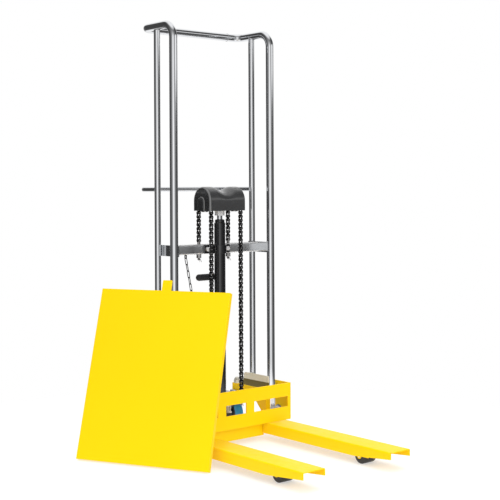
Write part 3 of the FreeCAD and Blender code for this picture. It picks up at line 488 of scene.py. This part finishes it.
def hex_nut(bm, middle, axis, across_flats, height, hole=0.0):
    """Nut or bolt head with chamfered corners, its middle at half height."""
    first, second = axes_for(axis)
    along = axis.normalized()
    per_side = 4
    count = 6 * per_side
    flat = across_flats / 2
    land = flat * 0.96
    tilt = math.tan(math.radians(30))
    outer = []
    for i in range(count):
        angle = 2 * math.pi * i / count
        offset = (angle + math.pi / 6) % (math.pi / 3) - math.pi / 6
        radius = flat / math.cos(offset)
        drop = (radius - flat) * tilt
        outer.append((angle, radius, height / 2 - drop))
    rings = []

    def ring(values):
        points = []
        for a, radius, z in values:
            points.append(middle + radius * (first * math.cos(a) + second * math.sin(a)) + along * z)
        rings.append([bm.verts.new(p) for p in points])

    if hole:
        ring([(a, hole, -height / 2) for a, _, _ in outer])
    ring([(a, land, -height / 2) for a, _, _ in outer])
    ring([(a, radius, -z) for a, radius, z in outer])
    ring(outer)
    ring([(a, land, height / 2) for a, _, _ in outer])
    if hole:
        ring([(a, hole, height / 2) for a, _, _ in outer])
    bridge(bm, rings, bool(hole))
    if not hole:
        cap(bm, rings[0])
        cap(bm, rings[-1])


def flat_washer(bm, seat, axis, hole_r, across_flats, depth):
    """Flat ring under a nut."""
    outer_r = across_flats * 0.62
    profile = [(hole_r, 0.0), (outer_r, 0.0), (outer_r, depth), (hole_r, depth)]
    lathe(bm, profile, seat, axis, 32, bored=True)


def thread(bm, start, end, radius, pitch):
    """Threaded stud drawn as close ridges."""
    along = end - start
    turns = max(1, round(along.length / pitch))
    root = radius * 0.86
    profile = [(root, 0.0)]
    for i in range(turns):
        base = i * pitch
        profile.append((root, base + pitch * 0.1))
        profile.append((radius, base + pitch * 0.5))
        profile.append((root, base + pitch * 0.9))
    profile.append((radius * 0.8, along.length))
    lathe(bm, profile, start, along, 24)


def weld_bead(bm, ring, radius):
    """Bead of overlapping ripples along a closed path."""
    mean = 0.82
    depth = 0.18
    pace = 2.1
    sweep(bm, ring, radius, 10, True, lambda i: mean + depth * math.sin(i * pace))


# Finish for the solids that keep their own shape
def dress(names, material, edge=0.0008):
    for name in names:
        node = frame["nodes"][name]
        mesh = node.data
        mesh.materials.clear()
        mesh.materials.append(material)
        if "custom_normal" in mesh.attributes:
            mesh.attributes.remove(mesh.attributes["custom_normal"])
        mesh.polygons.foreach_set("use_smooth", [True] * len(mesh.polygons))
        weld = node.modifiers.new("weld", "WELD")
        weld.merge_threshold = 1e-6
        bevel = node.modifiers.new("soft_edge", "BEVEL")
        bevel.width = edge
        bevel.segments = 2
        bevel.limit_method = "ANGLE"
        bevel.angle_limit = math.radians(SHARP_DEGREES)
        bevel.harden_normals = True


def dress_solids():
    painted = ["legs", "base_cross_member", "mast_feet", "side_frames", "carriage_plate", "side_plates",
               "chain_shelf", "left_fork", "right_fork", "fork_heels", "platform"]
    dress(painted, YELLOW)
    dress(["tube_straps"], STRAP_CHROME, 0.0012)
    dress(["upper_cross_bar"], BAR_CHROME, 0.0012)
    dress(["load_axles", "castor_stems"], ZINC, 0.0005)
    dress(["clamp_bolts", "guide_pins", "pivot_pins", "pump_plunger", "head_yoke"], BRIGHT_ZINC, 0.0005)
    dress(["castor_housings", "left_castor_fork", "right_castor_fork", "left_brake_pedal",
           "right_brake_pedal", "cylinder_clamp", "release_hook", "release_lever", "release_post",
           "pump_lever"], BLACK)
    dress(["pump_block"], CAST, 0.0015)
    # The photograph's chrome shows almost no yellow
    for name in painted:
        frame["nodes"][name].visible_glossy = False


# Mast
weld_r = 0.0014


def mast():
    for side, sign in SIDES.items():
        low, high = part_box(side + "_mast_tube")
        outer_y = high.y - tube_r if sign > 0 else low.y + tube_r
        inner_y = low.y if sign > 0 else high.y
        front_x = high.x - tube_r
        back_x = low.x + tube_r
        top_z = high.z - tube_r
        corners = [
            (front_x, outer_y, low.z), (front_x, outer_y, top_z),
            (back_x, outer_y, top_z), (back_x, inner_y, top_z),
        ]
        node = side + "_mast_tube"
        tube_piece(node + "_bent", corners, [hoop_bend, hoop_corner], tube_r, CHROME, "frame", [node])
    low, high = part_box("top_crossbar")
    hub = centre("top_crossbar")
    ends = [(hub.x, low.y, hub.z), (hub.x, high.y, hub.z)]
    tube_piece("top_crossbar_tube", ends, [], crossbar_r, CHROME, "frame", ["top_crossbar"])


def rear_tubes():
    low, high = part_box("rear_tubes")
    x = (low.x + high.x) / 2
    top = centre("top_crossbar").z
    bm = bmesh.new()
    for y in (low.y + rear_tube_r, high.y - rear_tube_r):
        sweep(bm, [Vector((x, y, low.z)), Vector((x, y, top))], rear_tube_r, 48)
    new_piece("rear_tube_pair", bm, [CHROME], "frame", ["rear_tubes"])


def lower_handle():
    low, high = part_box("lower_handle")
    z = (low.z + high.z) / 2
    tube_x = centre("rear_tubes").x
    left_y = high.y - handle_r
    right_y = low.y + handle_r
    back_x = low.x + handle_r
    corners = [(tube_x, left_y, z), (back_x, left_y, z), (back_x, right_y, z), (tube_x, right_y, z)]
    radii = [handle_corner, handle_corner]
    tube_piece("lower_handle_tube", corners, radii, handle_r, CHROME, "frame", ["lower_handle"], 40)


def tube_welds():
    """Beads where the tubes meet."""
    bm = bmesh.new()
    steps = 72
    bar_low, bar_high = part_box("top_crossbar")
    hub = centre("top_crossbar")
    for y in (bar_low.y, bar_high.y):
        ring = ring_points(Vector((hub.x, y, hub.z)), FORWARD, UP, crossbar_r, steps)
        weld_bead(bm, ring, weld_r)
    handle_z = centre("lower_handle").z
    low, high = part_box("rear_tubes")
    x = (low.x + high.x) / 2
    for y in (low.y + rear_tube_r, high.y - rear_tube_r):
        ring = []
        for i in range(steps):
            angle = 2 * math.pi * i / steps
            dy = handle_r * math.cos(angle)
            reach = math.sqrt(rear_tube_r ** 2 - dy ** 2)
            ring.append(Vector((x - reach, y + dy, handle_z + handle_r * math.sin(angle))))
        weld_bead(bm, ring, weld_r)
        ring = []
        for i in range(steps):
            angle = 2 * math.pi * i / steps
            dy = rear_tube_r * math.cos(angle)
            drop = math.sqrt(tube_r ** 2 - dy ** 2)
            ring.append(Vector((x + rear_tube_r * math.sin(angle), y + dy, hub.z - drop)))
        weld_bead(bm, ring, weld_r)
    new_piece("tube_weld_beads", bm, [CHROME], "frame")


# Lift chains
chain_pitch = 0.015875
chain_plate = 0.002
chain_plate_half = 0.0065
chain_waist_half = 0.0032
chain_inner_half = 0.003
chain_roller_r = 0.0046
chain_pin_r = 0.0024
chain_pin_half = 0.0074
sheave_axis = centre("left_sheave")
sheave_y = sheave_axis.y - middle_y
wrap_links = 8
front_links = 49
rear_links = 10
wrap_half_turn = math.pi / (2 * wrap_links)
sheave_pitch_r = chain_pitch / (2 * math.sin(wrap_half_turn))
front_chain_x = sheave_axis.x + sheave_pitch_r
rear_chain_x = sheave_axis.x - sheave_pitch_r
rear_anchor_z = sheave_axis.z - rear_links * chain_pitch
piston_stroke = next(j for j in frame["joints"] if j["name"] == "piston_lift")["range_m"][1]

# Band where the spare rear links are stowed
spare_low = sheave_axis.z - 0.036
spare_high = sheave_axis.z - 0.001


def link_outline():
    """Figure-of-eight plate about the middle of a link lying along its first axis."""
    points = []
    arc = 104
    steps = 8
    for end in (1, -1):
        for i in range(steps + 1):
            angle = math.radians(-arc + 2 * arc * i / steps)
            along = chain_pitch / 2 + chain_plate_half * math.cos(angle)
            points.append((end * along, end * chain_plate_half * math.sin(angle)))
        points.append((0.0, end * chain_waist_half))
    return points


LINK_OUTLINE = link_outline()


def add_link(bm, start, end, y, inner):
    along = (end - start).normalized()
    across = Vector((-along.z, 0, along.x))
    middle = (start + end) / 2
    near = chain_inner_half if inner else chain_inner_half + chain_plate
    for sign in (-1, 1):
        rings = []
        for depth in (near, near + chain_plate):
            shift = ACROSS * (y + sign * depth)
            points = [middle + along * a + across * b + shift for a, b in LINK_OUTLINE]
            rings.append([bm.verts.new(p) for p in points])
        bridge(bm, rings)
        cap(bm, rings[0])
        cap(bm, rings[1])


def add_joint(bm, place, y):
    middle = place + ACROSS * y
    lathe(bm, mirrored([(chain_roller_r, -chain_inner_half)]), middle, ACROSS, 16, 1)
    pin = mirrored([(chain_pin_r * 0.7, -chain_pin_half), (chain_pin_r, -chain_pin_half + 0.0004)])
    lathe(bm, pin, middle, ACROSS, 12, 1)


def add_chain(bm, places, y, first_inner, with_ends):
    for i in range(len(places) - 1):
        add_link(bm, places[i], places[i + 1], y, first_inner == (i % 2 == 0))
    joints = places if with_ends else places[1:]
    for place in joints:
        add_joint(bm, place, y)


def strand(x, top_z, count):
    return [Vector((x, 0, top_z - i * chain_pitch)) for i in range(count + 1)]


def chain_sides():
    return [middle_y + sign * sheave_y for sign in SIDES.values()]


def front_chains():
    """Carriage strands."""
    bm = bmesh.new()
    for y in chain_sides():
        add_chain(bm, strand(front_chain_x, sheave_axis.z, front_links), y, False, False)
    piece = new_piece("front_chain_links", bm, [CHAIN_PLATE, CHAIN_PIN], None, ["front_chains"])
    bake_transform(piece)


def chain_wraps():
    bm = bmesh.new()
    for y in chain_sides():
        places = []
        for i in range(wrap_links + 1):
            angle = math.pi * i / wrap_links
            spoke = Vector((math.cos(angle), 0, math.sin(angle))) * sheave_pitch_r
            places.append(Vector((sheave_axis.x, 0, sheave_axis.z)) + spoke)
        add_chain(bm, places, y, True, True)
    new_piece("chain_wrap_links", bm, [CHAIN_PLATE, CHAIN_PIN], "lift_head", ["chain_wraps"])


def raised_height(z):
    """Where a rear link at height z stands when the head is fully up."""
    t = min(1.0, max(0.0, (z - spare_low) / (spare_high - spare_low)))
    return z + piston_stroke * t * t * (3 - 2 * t)


def lowered_height(z):
    """The resting height of a rear link that stands at z when the head is fully up."""
    halvings = 40
    low = rear_anchor_z - 0.02
    high = z
    for _ in range(halvings):
        middle = (low + high) / 2
        if raised_height(middle) < z:
            low = middle
        else:
            high = middle
    return (low + high) / 2


def rear_chains():
    """Cross bar strands. The links for the raised head are stowed in the cover at rest."""
    top = sheave_axis.z + piston_stroke
    count = int((top - rear_anchor_z) / chain_pitch)
    bm = bmesh.new()
    for y in chain_sides():
        places = [Vector((rear_chain_x, 0, rear_anchor_z + i * chain_pitch)) for i in range(count + 1)]
        add_chain(bm, places, y, False, False)
    for vertex in bm.verts:
        vertex.co.z = lowered_height(vertex.co.z)
    piece = new_piece("rear_chain_links", bm, [CHAIN_PLATE, CHAIN_PIN], None, ["rear_chains"])
    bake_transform(piece)


# Chain anchors
stud_r = 0.005
nut_across = 0.017
nut_height = 0.008
anchor_washer = 0.0014
split_pin_height = 0.005
shelf_plate = 0.008


def chain_anchor(bm, x, y, eye_z, seat_top, seat_bottom, low):
    eye_r = chain_plate_half
    eye_half = 0.0047
    eye = Vector((x, y, eye_z))
    lathe(bm, mirrored([(eye_r, -eye_half)]), eye, ACROSS, 32)
    lathe(bm, mirrored([(chain_pin_r, -chain_pin_half)]), eye, ACROSS, 12)
    lathe(bm, [(eye_r, 0.0), (eye_r, eye_z - seat_top)], Vector((x, y, seat_top)), UP, 32)
    thread(bm, Vector((x, y, low)), Vector((x, y, seat_top)), stud_r, 0.0015)
    washer_low = seat_bottom - anchor_washer
    flat_washer(bm, Vector((x, y, washer_low)), UP, stud_r, nut_across, anchor_washer)
    for top, height in ((washer_low, nut_height - anchor_washer), (seat_bottom - nut_height, nut_height)):
        hex_nut(bm, Vector((x, y, top - height / 2)), UP, nut_across, height, stud_r * 0.9)


def split_pin(bm, x, y, z):
    wire = 0.0009
    for sign in (-1, 1):
        tip = Vector((x + sign * 0.006, y + 0.009, z - 0.012))
        path = [Vector((x + sign * wire, y - 0.008, z)), Vector((x + sign * wire, y + 0.007, z)), tip]
        sweep(bm, rounded_path(path, [0.004], 5), wire, 8)


def anchors():
    for name, x, seat_node, body in (
        ("front_chain_anchors", front_chain_x, "chain_shelf", "carriage"),
        ("rear_chain_anchors", rear_chain_x, "upper_cross_bar", "frame"),
    ):
        low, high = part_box(name)
        eye_z = high.z - chain_plate_half
        seat_low, seat_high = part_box(seat_node)
        seat_top = seat_low.z + shelf_plate if seat_node == "chain_shelf" else seat_high.z
        bm = bmesh.new()
        for y in chain_sides():
            chain_anchor(bm, x, y, eye_z, seat_top, seat_low.z, low.z)
            split_pin(bm, x, y, low.z + split_pin_height)
        new_piece(name + "_threaded", bm, [STEEL], body, [name])


# Chain cover
cover_wall = 0.003
cover_saddle = 0.018
cover_saddle_half = 0.052
cover_edge = 0.010
cover_boss_depth = 0.005
cover_boss_half = 0.023
cover_boss_height = 0.057
cover_height = 0.096
# Depth and inset of the end arches' softened rim
cover_boss_rim = (
    (0.0, 0.0), (0.0012, 0.0), (0.0028, 0.0007), (0.0042, 0.0022), (cover_boss_depth, 0.0044),
)


def cover_outline(half, low, top, steps=28):
    """Arch in (across, height) pairs, from one foot over the top to the other."""
    shoulder = cover_shoulder
    waist = low + (shoulder - low) * 0.5
    points = [(-half, low), (-half, waist)]
    rise = top - shoulder
    for i in range(steps + 1):
        angle = math.pi * (1 - i / steps)
        points.append((half * math.cos(angle), shoulder + rise * math.sin(angle)))
    points += [(half, waist), (half, low)]
    return points


cover_low, cover_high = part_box("chain_cover")
cover_x = (cover_low.x + cover_high.x) / 2
cover_half_depth = (cover_high.x - cover_low.x) / 2
cover_half_length = (cover_high.y - cover_low.y) / 2 - cover_boss_depth
cover_top = cover_low.z + cover_height
cover_shoulder = cover_top - cover_half_depth


def saddle_dip(y):
    if abs(y) >= cover_saddle_half:
        return 0.0
    return cover_saddle * (1 + math.cos(math.pi * y / cover_saddle_half)) / 2


def cover_shell(bm, inset):
    """One skin of the cover, set in by the wall for the inner one."""
    reach = cover_half_length - inset
    edge = max(cover_edge - inset, 0.004)
    stations = []
    edge_steps = 8
    for i in range(edge_steps + 1):
        angle = math.pi / 2 * i / edge_steps
        stations.append((reach - edge * (1 - math.sin(angle)), edge * (1 - math.cos(angle))))
    stations.reverse()
    inner = reach - edge
    steps = 48
    stations += [(inner - 2 * inner * i / steps, 0.0) for i in range(1, steps)]
    stations += [(-y, shrink) for y, shrink in reversed(stations[:edge_steps + 1])]
    rings = []
    for y, shrink in stations:
        half = cover_half_depth - inset - shrink
        top = cover_top - inset - shrink - saddle_dip(y)
        outline = cover_outline(half, cover_low.z, top)
        rings.append([bm.verts.new((cover_x + a, middle_y + y, z)) for a, z in outline])
    for lower, upper in zip(rings, rings[1:]):
        for i in range(len(lower) - 1):
            bm.faces.new((lower[i], lower[i + 1], upper[i + 1], upper[i]))
    bm.faces.new(rings[0])
    bm.faces.new(rings[-1])
    rim = [ring[0] for ring in rings] + [ring[-1] for ring in reversed(rings)]
    return rim


def arch_boss(bm, sign):
    """Raised arch on an end face, with a softened rim."""
    top = cover_low.z + cover_boss_height
    rings = []
    shoulder = top - cover_boss_half
    steps = 24
    for depth, shrink in cover_boss_rim:
        half = cover_boss_half - shrink
        points = [(-half, cover_low.z)]
        for i in range(steps + 1):
            angle = math.pi * (1 - i / steps)
            points.append((half * math.cos(angle), shoulder + half * math.sin(angle)))
        points.append((half, cover_low.z))
        y = middle_y + sign * (cover_half_length + depth)
        rings.append([bm.verts.new((cover_x + a, y, z)) for a, z in points])
    bridge(bm, rings)
    cap(bm, rings[0])
    cap(bm, rings[-1])


def chain_cover():
    bm = bmesh.new()
    outer = cover_shell(bm, 0.0)
    inner = cover_shell(bm, cover_wall)
    count = len(outer)
    for i in range(count):
        j = (i + 1) % count
        bm.faces.new((outer[i], outer[j], inner[j], inner[i]))
    for sign in SIDES.values():
        arch_boss(bm, sign)
    post_r = 0.010
    post_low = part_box("head_yoke")[1].z
    post_height = cover_top - cover_saddle - cover_wall / 2 - post_low
    lathe(bm, [(post_r, 0.0), (post_r, post_height)], Vector((cover_x, middle_y, post_low)), UP, 32)
    new_piece("chain_cover_shell", bm, [PLASTIC], "lift_head", ["chain_cover"], 42)


# Lift cylinder
def lift_cylinder():
    low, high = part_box("cylinder_barrel")
    r = size("cylinder_barrel").x / 2
    axis = Vector((barrel_axis.x, barrel_axis.y, low.z))
    height = high.z - low.z
    collar = 0.0035
    groove = 0.0008
    profile = [
        (r + collar, 0.0), (r + collar, 0.010), (r, 0.014), (r, height - 0.024),
        (r - groove, height - 0.0236), (r - groove, height - 0.0216), (r, height - 0.0212),
        (r, height - 0.003), (r - 0.003, height),
    ]
    bm = bmesh.new()
    lathe(bm, profile, axis, UP, 72)
    new_piece("cylinder_tube", bm, [BLACK], "frame", ["cylinder_barrel"])
    gland_r = size("cylinder_gland").x / 2
    gland_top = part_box("cylinder_gland")[1].z
    rod_r = 0.011
    gland_bore_r = rod_r + 0.0002
    gland_sunk = 0.002
    lip = gland_top - high.z
    profile = [
        (gland_bore_r, -gland_sunk), (gland_r, -gland_sunk), (gland_r, lip - 0.003),
        (gland_r - 0.002, lip - 0.001), (rod_r + 0.004, lip - 0.001),
        (rod_r + 0.003, lip), (gland_bore_r, lip),
    ]
    bm = bmesh.new()
    lathe(bm, profile, Vector((axis.x, axis.y, high.z)), UP, 64, bored=True)
    new_piece("cylinder_gland_ring", bm, [BLACK], "frame", ["cylinder_gland"])
    rod_low, rod_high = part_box("piston_rod")
    piston_r = size("piston_rod").x / 2
    piston_depth = 0.020
    length = rod_high.z - rod_low.z
    profile = [(piston_r, 0.0), (piston_r, piston_depth), (rod_r, piston_depth), (rod_r, length)]
    bm = bmesh.new()
    lathe(bm, profile, Vector((axis.x, axis.y, rod_low.z)), UP, 64)
    new_piece("piston_rod_turned", bm, [ROD_CHROME], "lift_head", ["piston_rod"])


# Wheels
axle_bore_r = 0.0061
tyre_shoulder = 0.006
tyre_depth = 0.015
tyre_steps = 12


def load_wheels():
    for side in SIDES:
        node = side + "_load_wheel"
        hub = joint_place(node + "_spin")
        r = size(node).x / 2
        half = size(node).y / 2
        profile = mirrored([
            (axle_bore_r, -half), (0.011, -half), (0.0115, -half + 0.0008), (0.017, -half + 0.0008),
            (r - 0.005, -half), (r - 0.0015, -half + 0.0012), (r, -half + 0.004),
        ])
        bm = bmesh.new()
        lathe(bm, profile, hub, ACROSS, 72, bored=True)
        new_piece(node + "_turned", bm, [NYLON], node, [node])


def castor_wheels():
    for side in SIDES:
        wheel = side + "_castor_wheel"
        hub = joint_place(wheel + "_spin")
        tyre = side + "_castor_tyre"
        r = size(tyre).x / 2
        half = size(tyre).y / 2
        rim = r - tyre_depth
        side_r = r - tyre_shoulder
        profile = [(rim, -half), (side_r, -half)]
        for i in range(tyre_steps + 1):
            angle = -math.pi / 2 + math.pi * i / tyre_steps
            profile.append((side_r + tyre_shoulder * math.cos(angle), half * math.sin(angle)))
        profile += [(side_r, half), (rim, half)]
        bm = bmesh.new()
        lathe(bm, profile, hub, ACROSS, 96, bored=True)
        new_piece(tyre + "_moulded", bm, [BLUE], wheel, [tyre])
        core = side + "_castor_hub"
        boss_half = size(core).y / 2
        web = half / 3
        profile = mirrored([
            (axle_bore_r, -boss_half), (0.011, -boss_half), (0.012, -boss_half + 0.001),
            (0.0145, -web - 0.004), (0.018, -web), (rim - 0.0105, -web), (rim - 0.0075, -web - 0.004),
            (rim - 0.0065, -half), (rim, -half),
        ])
        bm = bmesh.new()
        lathe(bm, profile, hub, ACROSS, 72, bored=True)
        new_piece(core + "_cast", bm, [CAST], wheel, [core])


def castor_fittings():
    """Axle nuts, brake pivot nuts and race ring on each castor."""
    bolt_r = 0.004
    washer_depth = 0.0015
    for side in SIDES:
        castor = side + "_castor"
        low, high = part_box(side + "_castor_fork")
        bm = bmesh.new()
        for joint, across_flats, height in (
            (castor + "_wheel_spin", 0.018, 0.008),
            (side + "_brake_press", 0.012, 0.005),
        ):
            place = joint_place(joint)
            for y, sign in ((low.y, -1), (high.y, 1)):
                seat = Vector((place.x, y, place.z))
                flat_washer(bm, seat, ACROSS * sign, bolt_r, across_flats, washer_depth)
                hex_nut(bm, seat + ACROSS * sign * (washer_depth + height / 2), ACROSS, across_flats, height)
        new_piece(castor + "_nuts", bm, [ZINC], castor)
        pivot = joint_place(castor + "_swivel")
        bm = bmesh.new()
        profile = [
            (0.020, -0.010), (0.029, -0.010), (0.0305, -0.0085),
            (0.0305, -0.0045), (0.029, -0.0008), (0.020, -0.0008),
        ]
        lathe(bm, profile, Vector((pivot.x, pivot.y, high.z)), UP, 64, bored=True)
        new_piece(castor + "_race", bm, [ZINC], castor)


# Carriage rollers and sheaves
def guide_rollers():
    throat = 0.014
    groove = 0.0163
    lip = 0.0012
    steps = 16
    for side in SIDES:
        for height in ("upper", "lower"):
            node = side + "_" + height + "_guide_roller"
            hub = joint_place(node + "_spin")
            r = size(node).x / 2
            half = size(node).y / 2
            profile = [(axle_bore_r, -half), (r - 0.001, -half)]
            for i in range(steps + 1):
                y = -half + lip + (2 * half - 2 * lip) * i / steps
                profile.append((throat + groove - math.sqrt(groove ** 2 - y ** 2), y))
            profile = [(min(radius, r), y) for radius, y in profile]
            profile += [(r - 0.001, half), (axle_bore_r, half)]
            bm = bmesh.new()
            lathe(bm, profile, hub, ACROSS, 64, bored=True)
            new_piece(node + "_turned", bm, [STEEL], node, [node])


def sheaves():
    for side in SIDES:
        node = side + "_sheave"
        hub = joint_place(node + "_spin")
        rim = sheave_pitch_r * math.cos(wrap_half_turn) - chain_plate_half - 0.0003
        bore_r = 0.0081
        inside = 0.0075
        outside = size(node).y / 2
        flange = size(node).x / 2
        profile = mirrored([
            (bore_r, -outside), (flange - 0.001, -outside), (flange, -outside + 0.001), (flange, -inside),
            (rim, -inside),
        ])
        bm = bmesh.new()
        lathe(bm, profile, hub, ACROSS, 64, bored=True)
        new_piece(node + "_turned", bm, [STEEL], node, [node])


# Pump lever and release
def lever_grips():
    low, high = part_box("lever_grips")
    r = (high.z - low.z) / 2
    x = (low.x + high.x) / 2
    z = (low.z + high.z) / 2
    bm = bmesh.new()
    start = 0.012
    ribs = 7
    end_steps = 8
    rod_hole_r = 0.0071
    valley_r = r - 0.0012
    for sign in SIDES.values():
        length = high.y - middle_y if sign > 0 else middle_y - low.y
        profile = [(rod_hole_r, start), (r - 0.0015, start), (r, start + 0.002)]
        pitch = (length - r - start - 0.006) / ribs
        for i in range(ribs):
            base = start + 0.004 + i * pitch
            for radius, share in ((r, 0.0), (valley_r, 0.25), (valley_r, 0.55), (r, 0.8)):
                profile.append((radius, base + pitch * share))
        for i in range(end_steps + 1):
            angle = math.pi / 2 * i / end_steps
            profile.append((max(r * math.cos(angle), 0.0005), length - r + r * math.sin(angle)))
        lathe(bm, profile, Vector((x, middle_y, z)), ACROSS * sign, 40)
    new_piece("lever_grips_ribbed", bm, [GRIP], "pump_lever", ["lever_grips"])


def valve_spring():
    """Spring-loaded stem and a bleed stud standing on the front edge of the pump block."""
    low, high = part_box("pump_block")
    block_height = 0.048
    seat = low.z + block_height
    x = high.x - 0.010
    stem = Vector((x, middle_y + 0.018, seat))
    height = 0.032
    coil_r = 0.0052
    wire = 0.0009
    turns = 9
    per_turn = 16
    path = []
    for i in range(turns * per_turn + 1):
        angle = 2 * math.pi * i / per_turn
        spoke = Vector((math.cos(angle), math.sin(angle), 0)) * coil_r
        path.append(stem + spoke + UP * (wire + (height - 0.006) * i / (turns * per_turn)))
    bm = bmesh.new()
    sweep(bm, path, wire, 8)
    stem_r = 0.0028
    head_r = 0.007
    head_low = height - 0.005
    profile = [
        (stem_r, 0.0), (stem_r, head_low), (head_r, head_low),
        (head_r, height - 0.001), (head_r - 0.001, height),
    ]
    lathe(bm, profile, stem, UP, 28)
    stud = Vector((x, middle_y + 0.031, seat))
    stud_height = 0.036
    thread(bm, stud, stud + UP * stud_height, 0.0035, 0.0012)
    hex_nut(bm, stud + UP * 0.004, UP, 0.012, 0.006, 0.003)
    new_piece("pump_valve_spring", bm, [BRIGHT_ZINC], "frame")


def release_chain():
    """Welded oval links of round wire, each turned a quarter from the last."""
    hook = centre("release_hook")
    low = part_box("release_chain")[0]
    wire = 0.0015
    half_wide = 0.00425
    link_play = 0.0004
    end_steps = 8
    top = Vector((hook.x, hook.y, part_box("release_hook")[0].z + 0.0036))
    eye = centre("release_lever")
    lever_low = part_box("release_lever")[0]
    bottom = Vector((eye.x, lever_low.y + 0.007, low.z + 0.0032))
    count = 22
    run = bottom - top
    along = run.normalized()
    spacing = run.length / count
    straight = along.cross(FORWARD).normalized()
    bm = bmesh.new()
    for i in range(count):
        wide = straight if i % 2 == 0 else FORWARD
        middle = top + along * spacing * (i + 0.5)
        half_long = (spacing + link_play) / 2 + wire - half_wide
        path = []
        for end in (1, -1):
            for k in range(end_steps + 1):
                angle = math.pi * k / end_steps
                length = along * (half_long + half_wide * math.sin(angle))
                path.append(middle + end * (length + wide * half_wide * math.cos(angle)))
        sweep(bm, path, wire, 8, True)
    piece = new_piece("release_chain_links", bm, [CHAIN_PLATE], None, ["release_chain"])
    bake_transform(piece)


# Light and floor
WHITE = (1.0, 1.0, 1.0)

# Brightness of the studio in reflections, from behind the object round to the camera's side
STUDIO_STOPS = (
    (0.0, 0.9), (0.05, 0.40), (0.14, 0.10), (0.40, 0.05), (0.62, 0.10),
    (0.81, 0.20), (0.90, 0.32), (0.955, 0.58), (0.985, 0.95), (1.0, 1.1),
)


def make_world():
    """White background; in reflections, a studio with bright front and back, dark sides and a low panel."""
    world = bpy.data.worlds.new("studio")
    bpy.context.scene.world = world
    world.use_nodes = True
    world.node_tree.nodes.clear()
    nodes = Nodes(world.node_tree)
    ray = nodes.add("ShaderNodeLightPath").outputs
    direction = nodes.add("ShaderNodeTexCoord").outputs["Generated"]
    rise = nodes.part(direction, "Z")
    facing = nodes.reach(direction, Vector((math.sin(camera_azimuth), -math.cos(camera_azimuth), 0)))
    ramp = nodes.add("ShaderNodeValToRGB")
    stops = ramp.color_ramp.elements
    stops.remove(stops[0])
    for i, (place, value) in enumerate(STUDIO_STOPS):
        stop = stops.new(place) if i else stops[0]
        stop.position = place
        stop.color = (value, value, value, 1)
    nodes.link(nodes.remap(facing, 0.0, 1.0, -1.0, 1.0), ramp.inputs["Fac"])
    ceiling = nodes.remap(rise, 0.0, 1.0, 0.72, 0.95)
    behind = nodes.math("MULTIPLY_ADD", facing, -0.9, nodes.math("ABSOLUTE", rise))
    backdrop = nodes.remap(behind, 0.0, 1.0, 1.0, 1.15)
    room = nodes.mix(nodes.math("MAXIMUM", ceiling, backdrop), ramp.outputs["Color"], WHITE)
    sideways = nodes.reach(direction, Vector((0.77, 0.64, 0.0)).normalized())
    panel = nodes.remap(sideways, 0.0, 1.0, 0.80, 0.95)
    for dark, bright in ((0.10, 0.14), (0.36, 0.26)):
        panel = nodes.math("MULTIPLY", panel, nodes.remap(rise, 0.0, 1.0, dark, bright))
    lit = nodes.mix(panel, room, WHITE)
    fill = nodes.mix(ray["Is Glossy Ray"], (0.70, 0.70, 0.71), lit)
    seen = nodes.mix(ray["Is Camera Ray"], fill, WHITE)
    background = nodes.add("ShaderNodeBackground")
    nodes.link(seen, background.inputs["Color"])
    output = nodes.add("ShaderNodeOutputWorld")
    nodes.link(background.outputs["Background"], output.inputs["Surface"])


def area_light(name, place, target, width, height, power):
    data = bpy.data.lights.new(name, "AREA")
    data.shape = "RECTANGLE"
    data.size = width
    data.size_y = height
    data.energy = power
    lamp = bpy.data.objects.new(name, data)
    lamp.location = place
    lamp.visible_glossy = False
    lamp.rotation_euler = (Vector(target) - Vector(place)).to_track_quat("-Z", "Y").to_euler()
    bpy.context.scene.collection.objects.link(lamp)


def make_lights():
    aim = (0.0, 0.0, 0.6)
    area_light("key", (1.6, -3.4, 3.0), aim, 2.8, 2.8, 36)
    area_light("front", (3.6, -0.6, 2.2), aim, 2.4, 2.4, 50)
    area_light("top", (0.2, 0.4, 4.2), aim, 4.0, 4.0, 78)
    area_light("back", (-3.2, 1.6, 2.6), aim, 2.4, 2.4, 32)


def make_floor():
    """Pale floor that fades to the white background away from the object."""
    bm = bmesh.new()
    bmesh.ops.create_circle(bm, cap_ends=True, segments=96, radius=2.0)
    mesh = bpy.data.meshes.new("floor")
    bm.to_mesh(mesh)
    bm.free()
    floor = bpy.data.objects.new("floor", mesh)
    floor.location.z = -0.0004
    bpy.context.scene.collection.objects.link(floor)
    shader = Shader("floor", (0.55, 0.55, 0.55), 0.9)
    shader.bsdf.inputs["Emission Color"].default_value = (*WHITE, 1)
    shader.bsdf.inputs["Emission Strength"].default_value = 0.50
    distance = shader.add("ShaderNodeVectorMath", operation="LENGTH")
    shader.link(shader.coords, distance.inputs[0])
    fade = shader.remap(distance.outputs["Value"], 0.0, 1.0, 0.70, 1.60)
    clear = shader.add("ShaderNodeBsdfTransparent")
    mix = shader.add("ShaderNodeMixShader")
    shader.link(fade, mix.inputs["Fac"])
    shader.link(shader.bsdf.outputs["BSDF"], mix.inputs[1])
    shader.link(clear.outputs["BSDF"], mix.inputs[2])
    shader.link(mix.outputs["Shader"], shader.tree.nodes["Material Output"].inputs["Surface"])
    mesh.materials.append(shader.material)


make_camera()
make_world()
make_lights()
make_floor()
dress_solids()
mast()
rear_tubes()
lower_handle()
tube_welds()
front_chains()
chain_wraps()
rear_chains()
anchors()
chain_cover()
lift_cylinder()
load_wheels()
castor_wheels()
castor_fittings()
guide_rollers()
sheaves()
lever_grips()
valve_spring()
release_chain()

bpy.context.scene.view_settings.view_transform = "Standard"
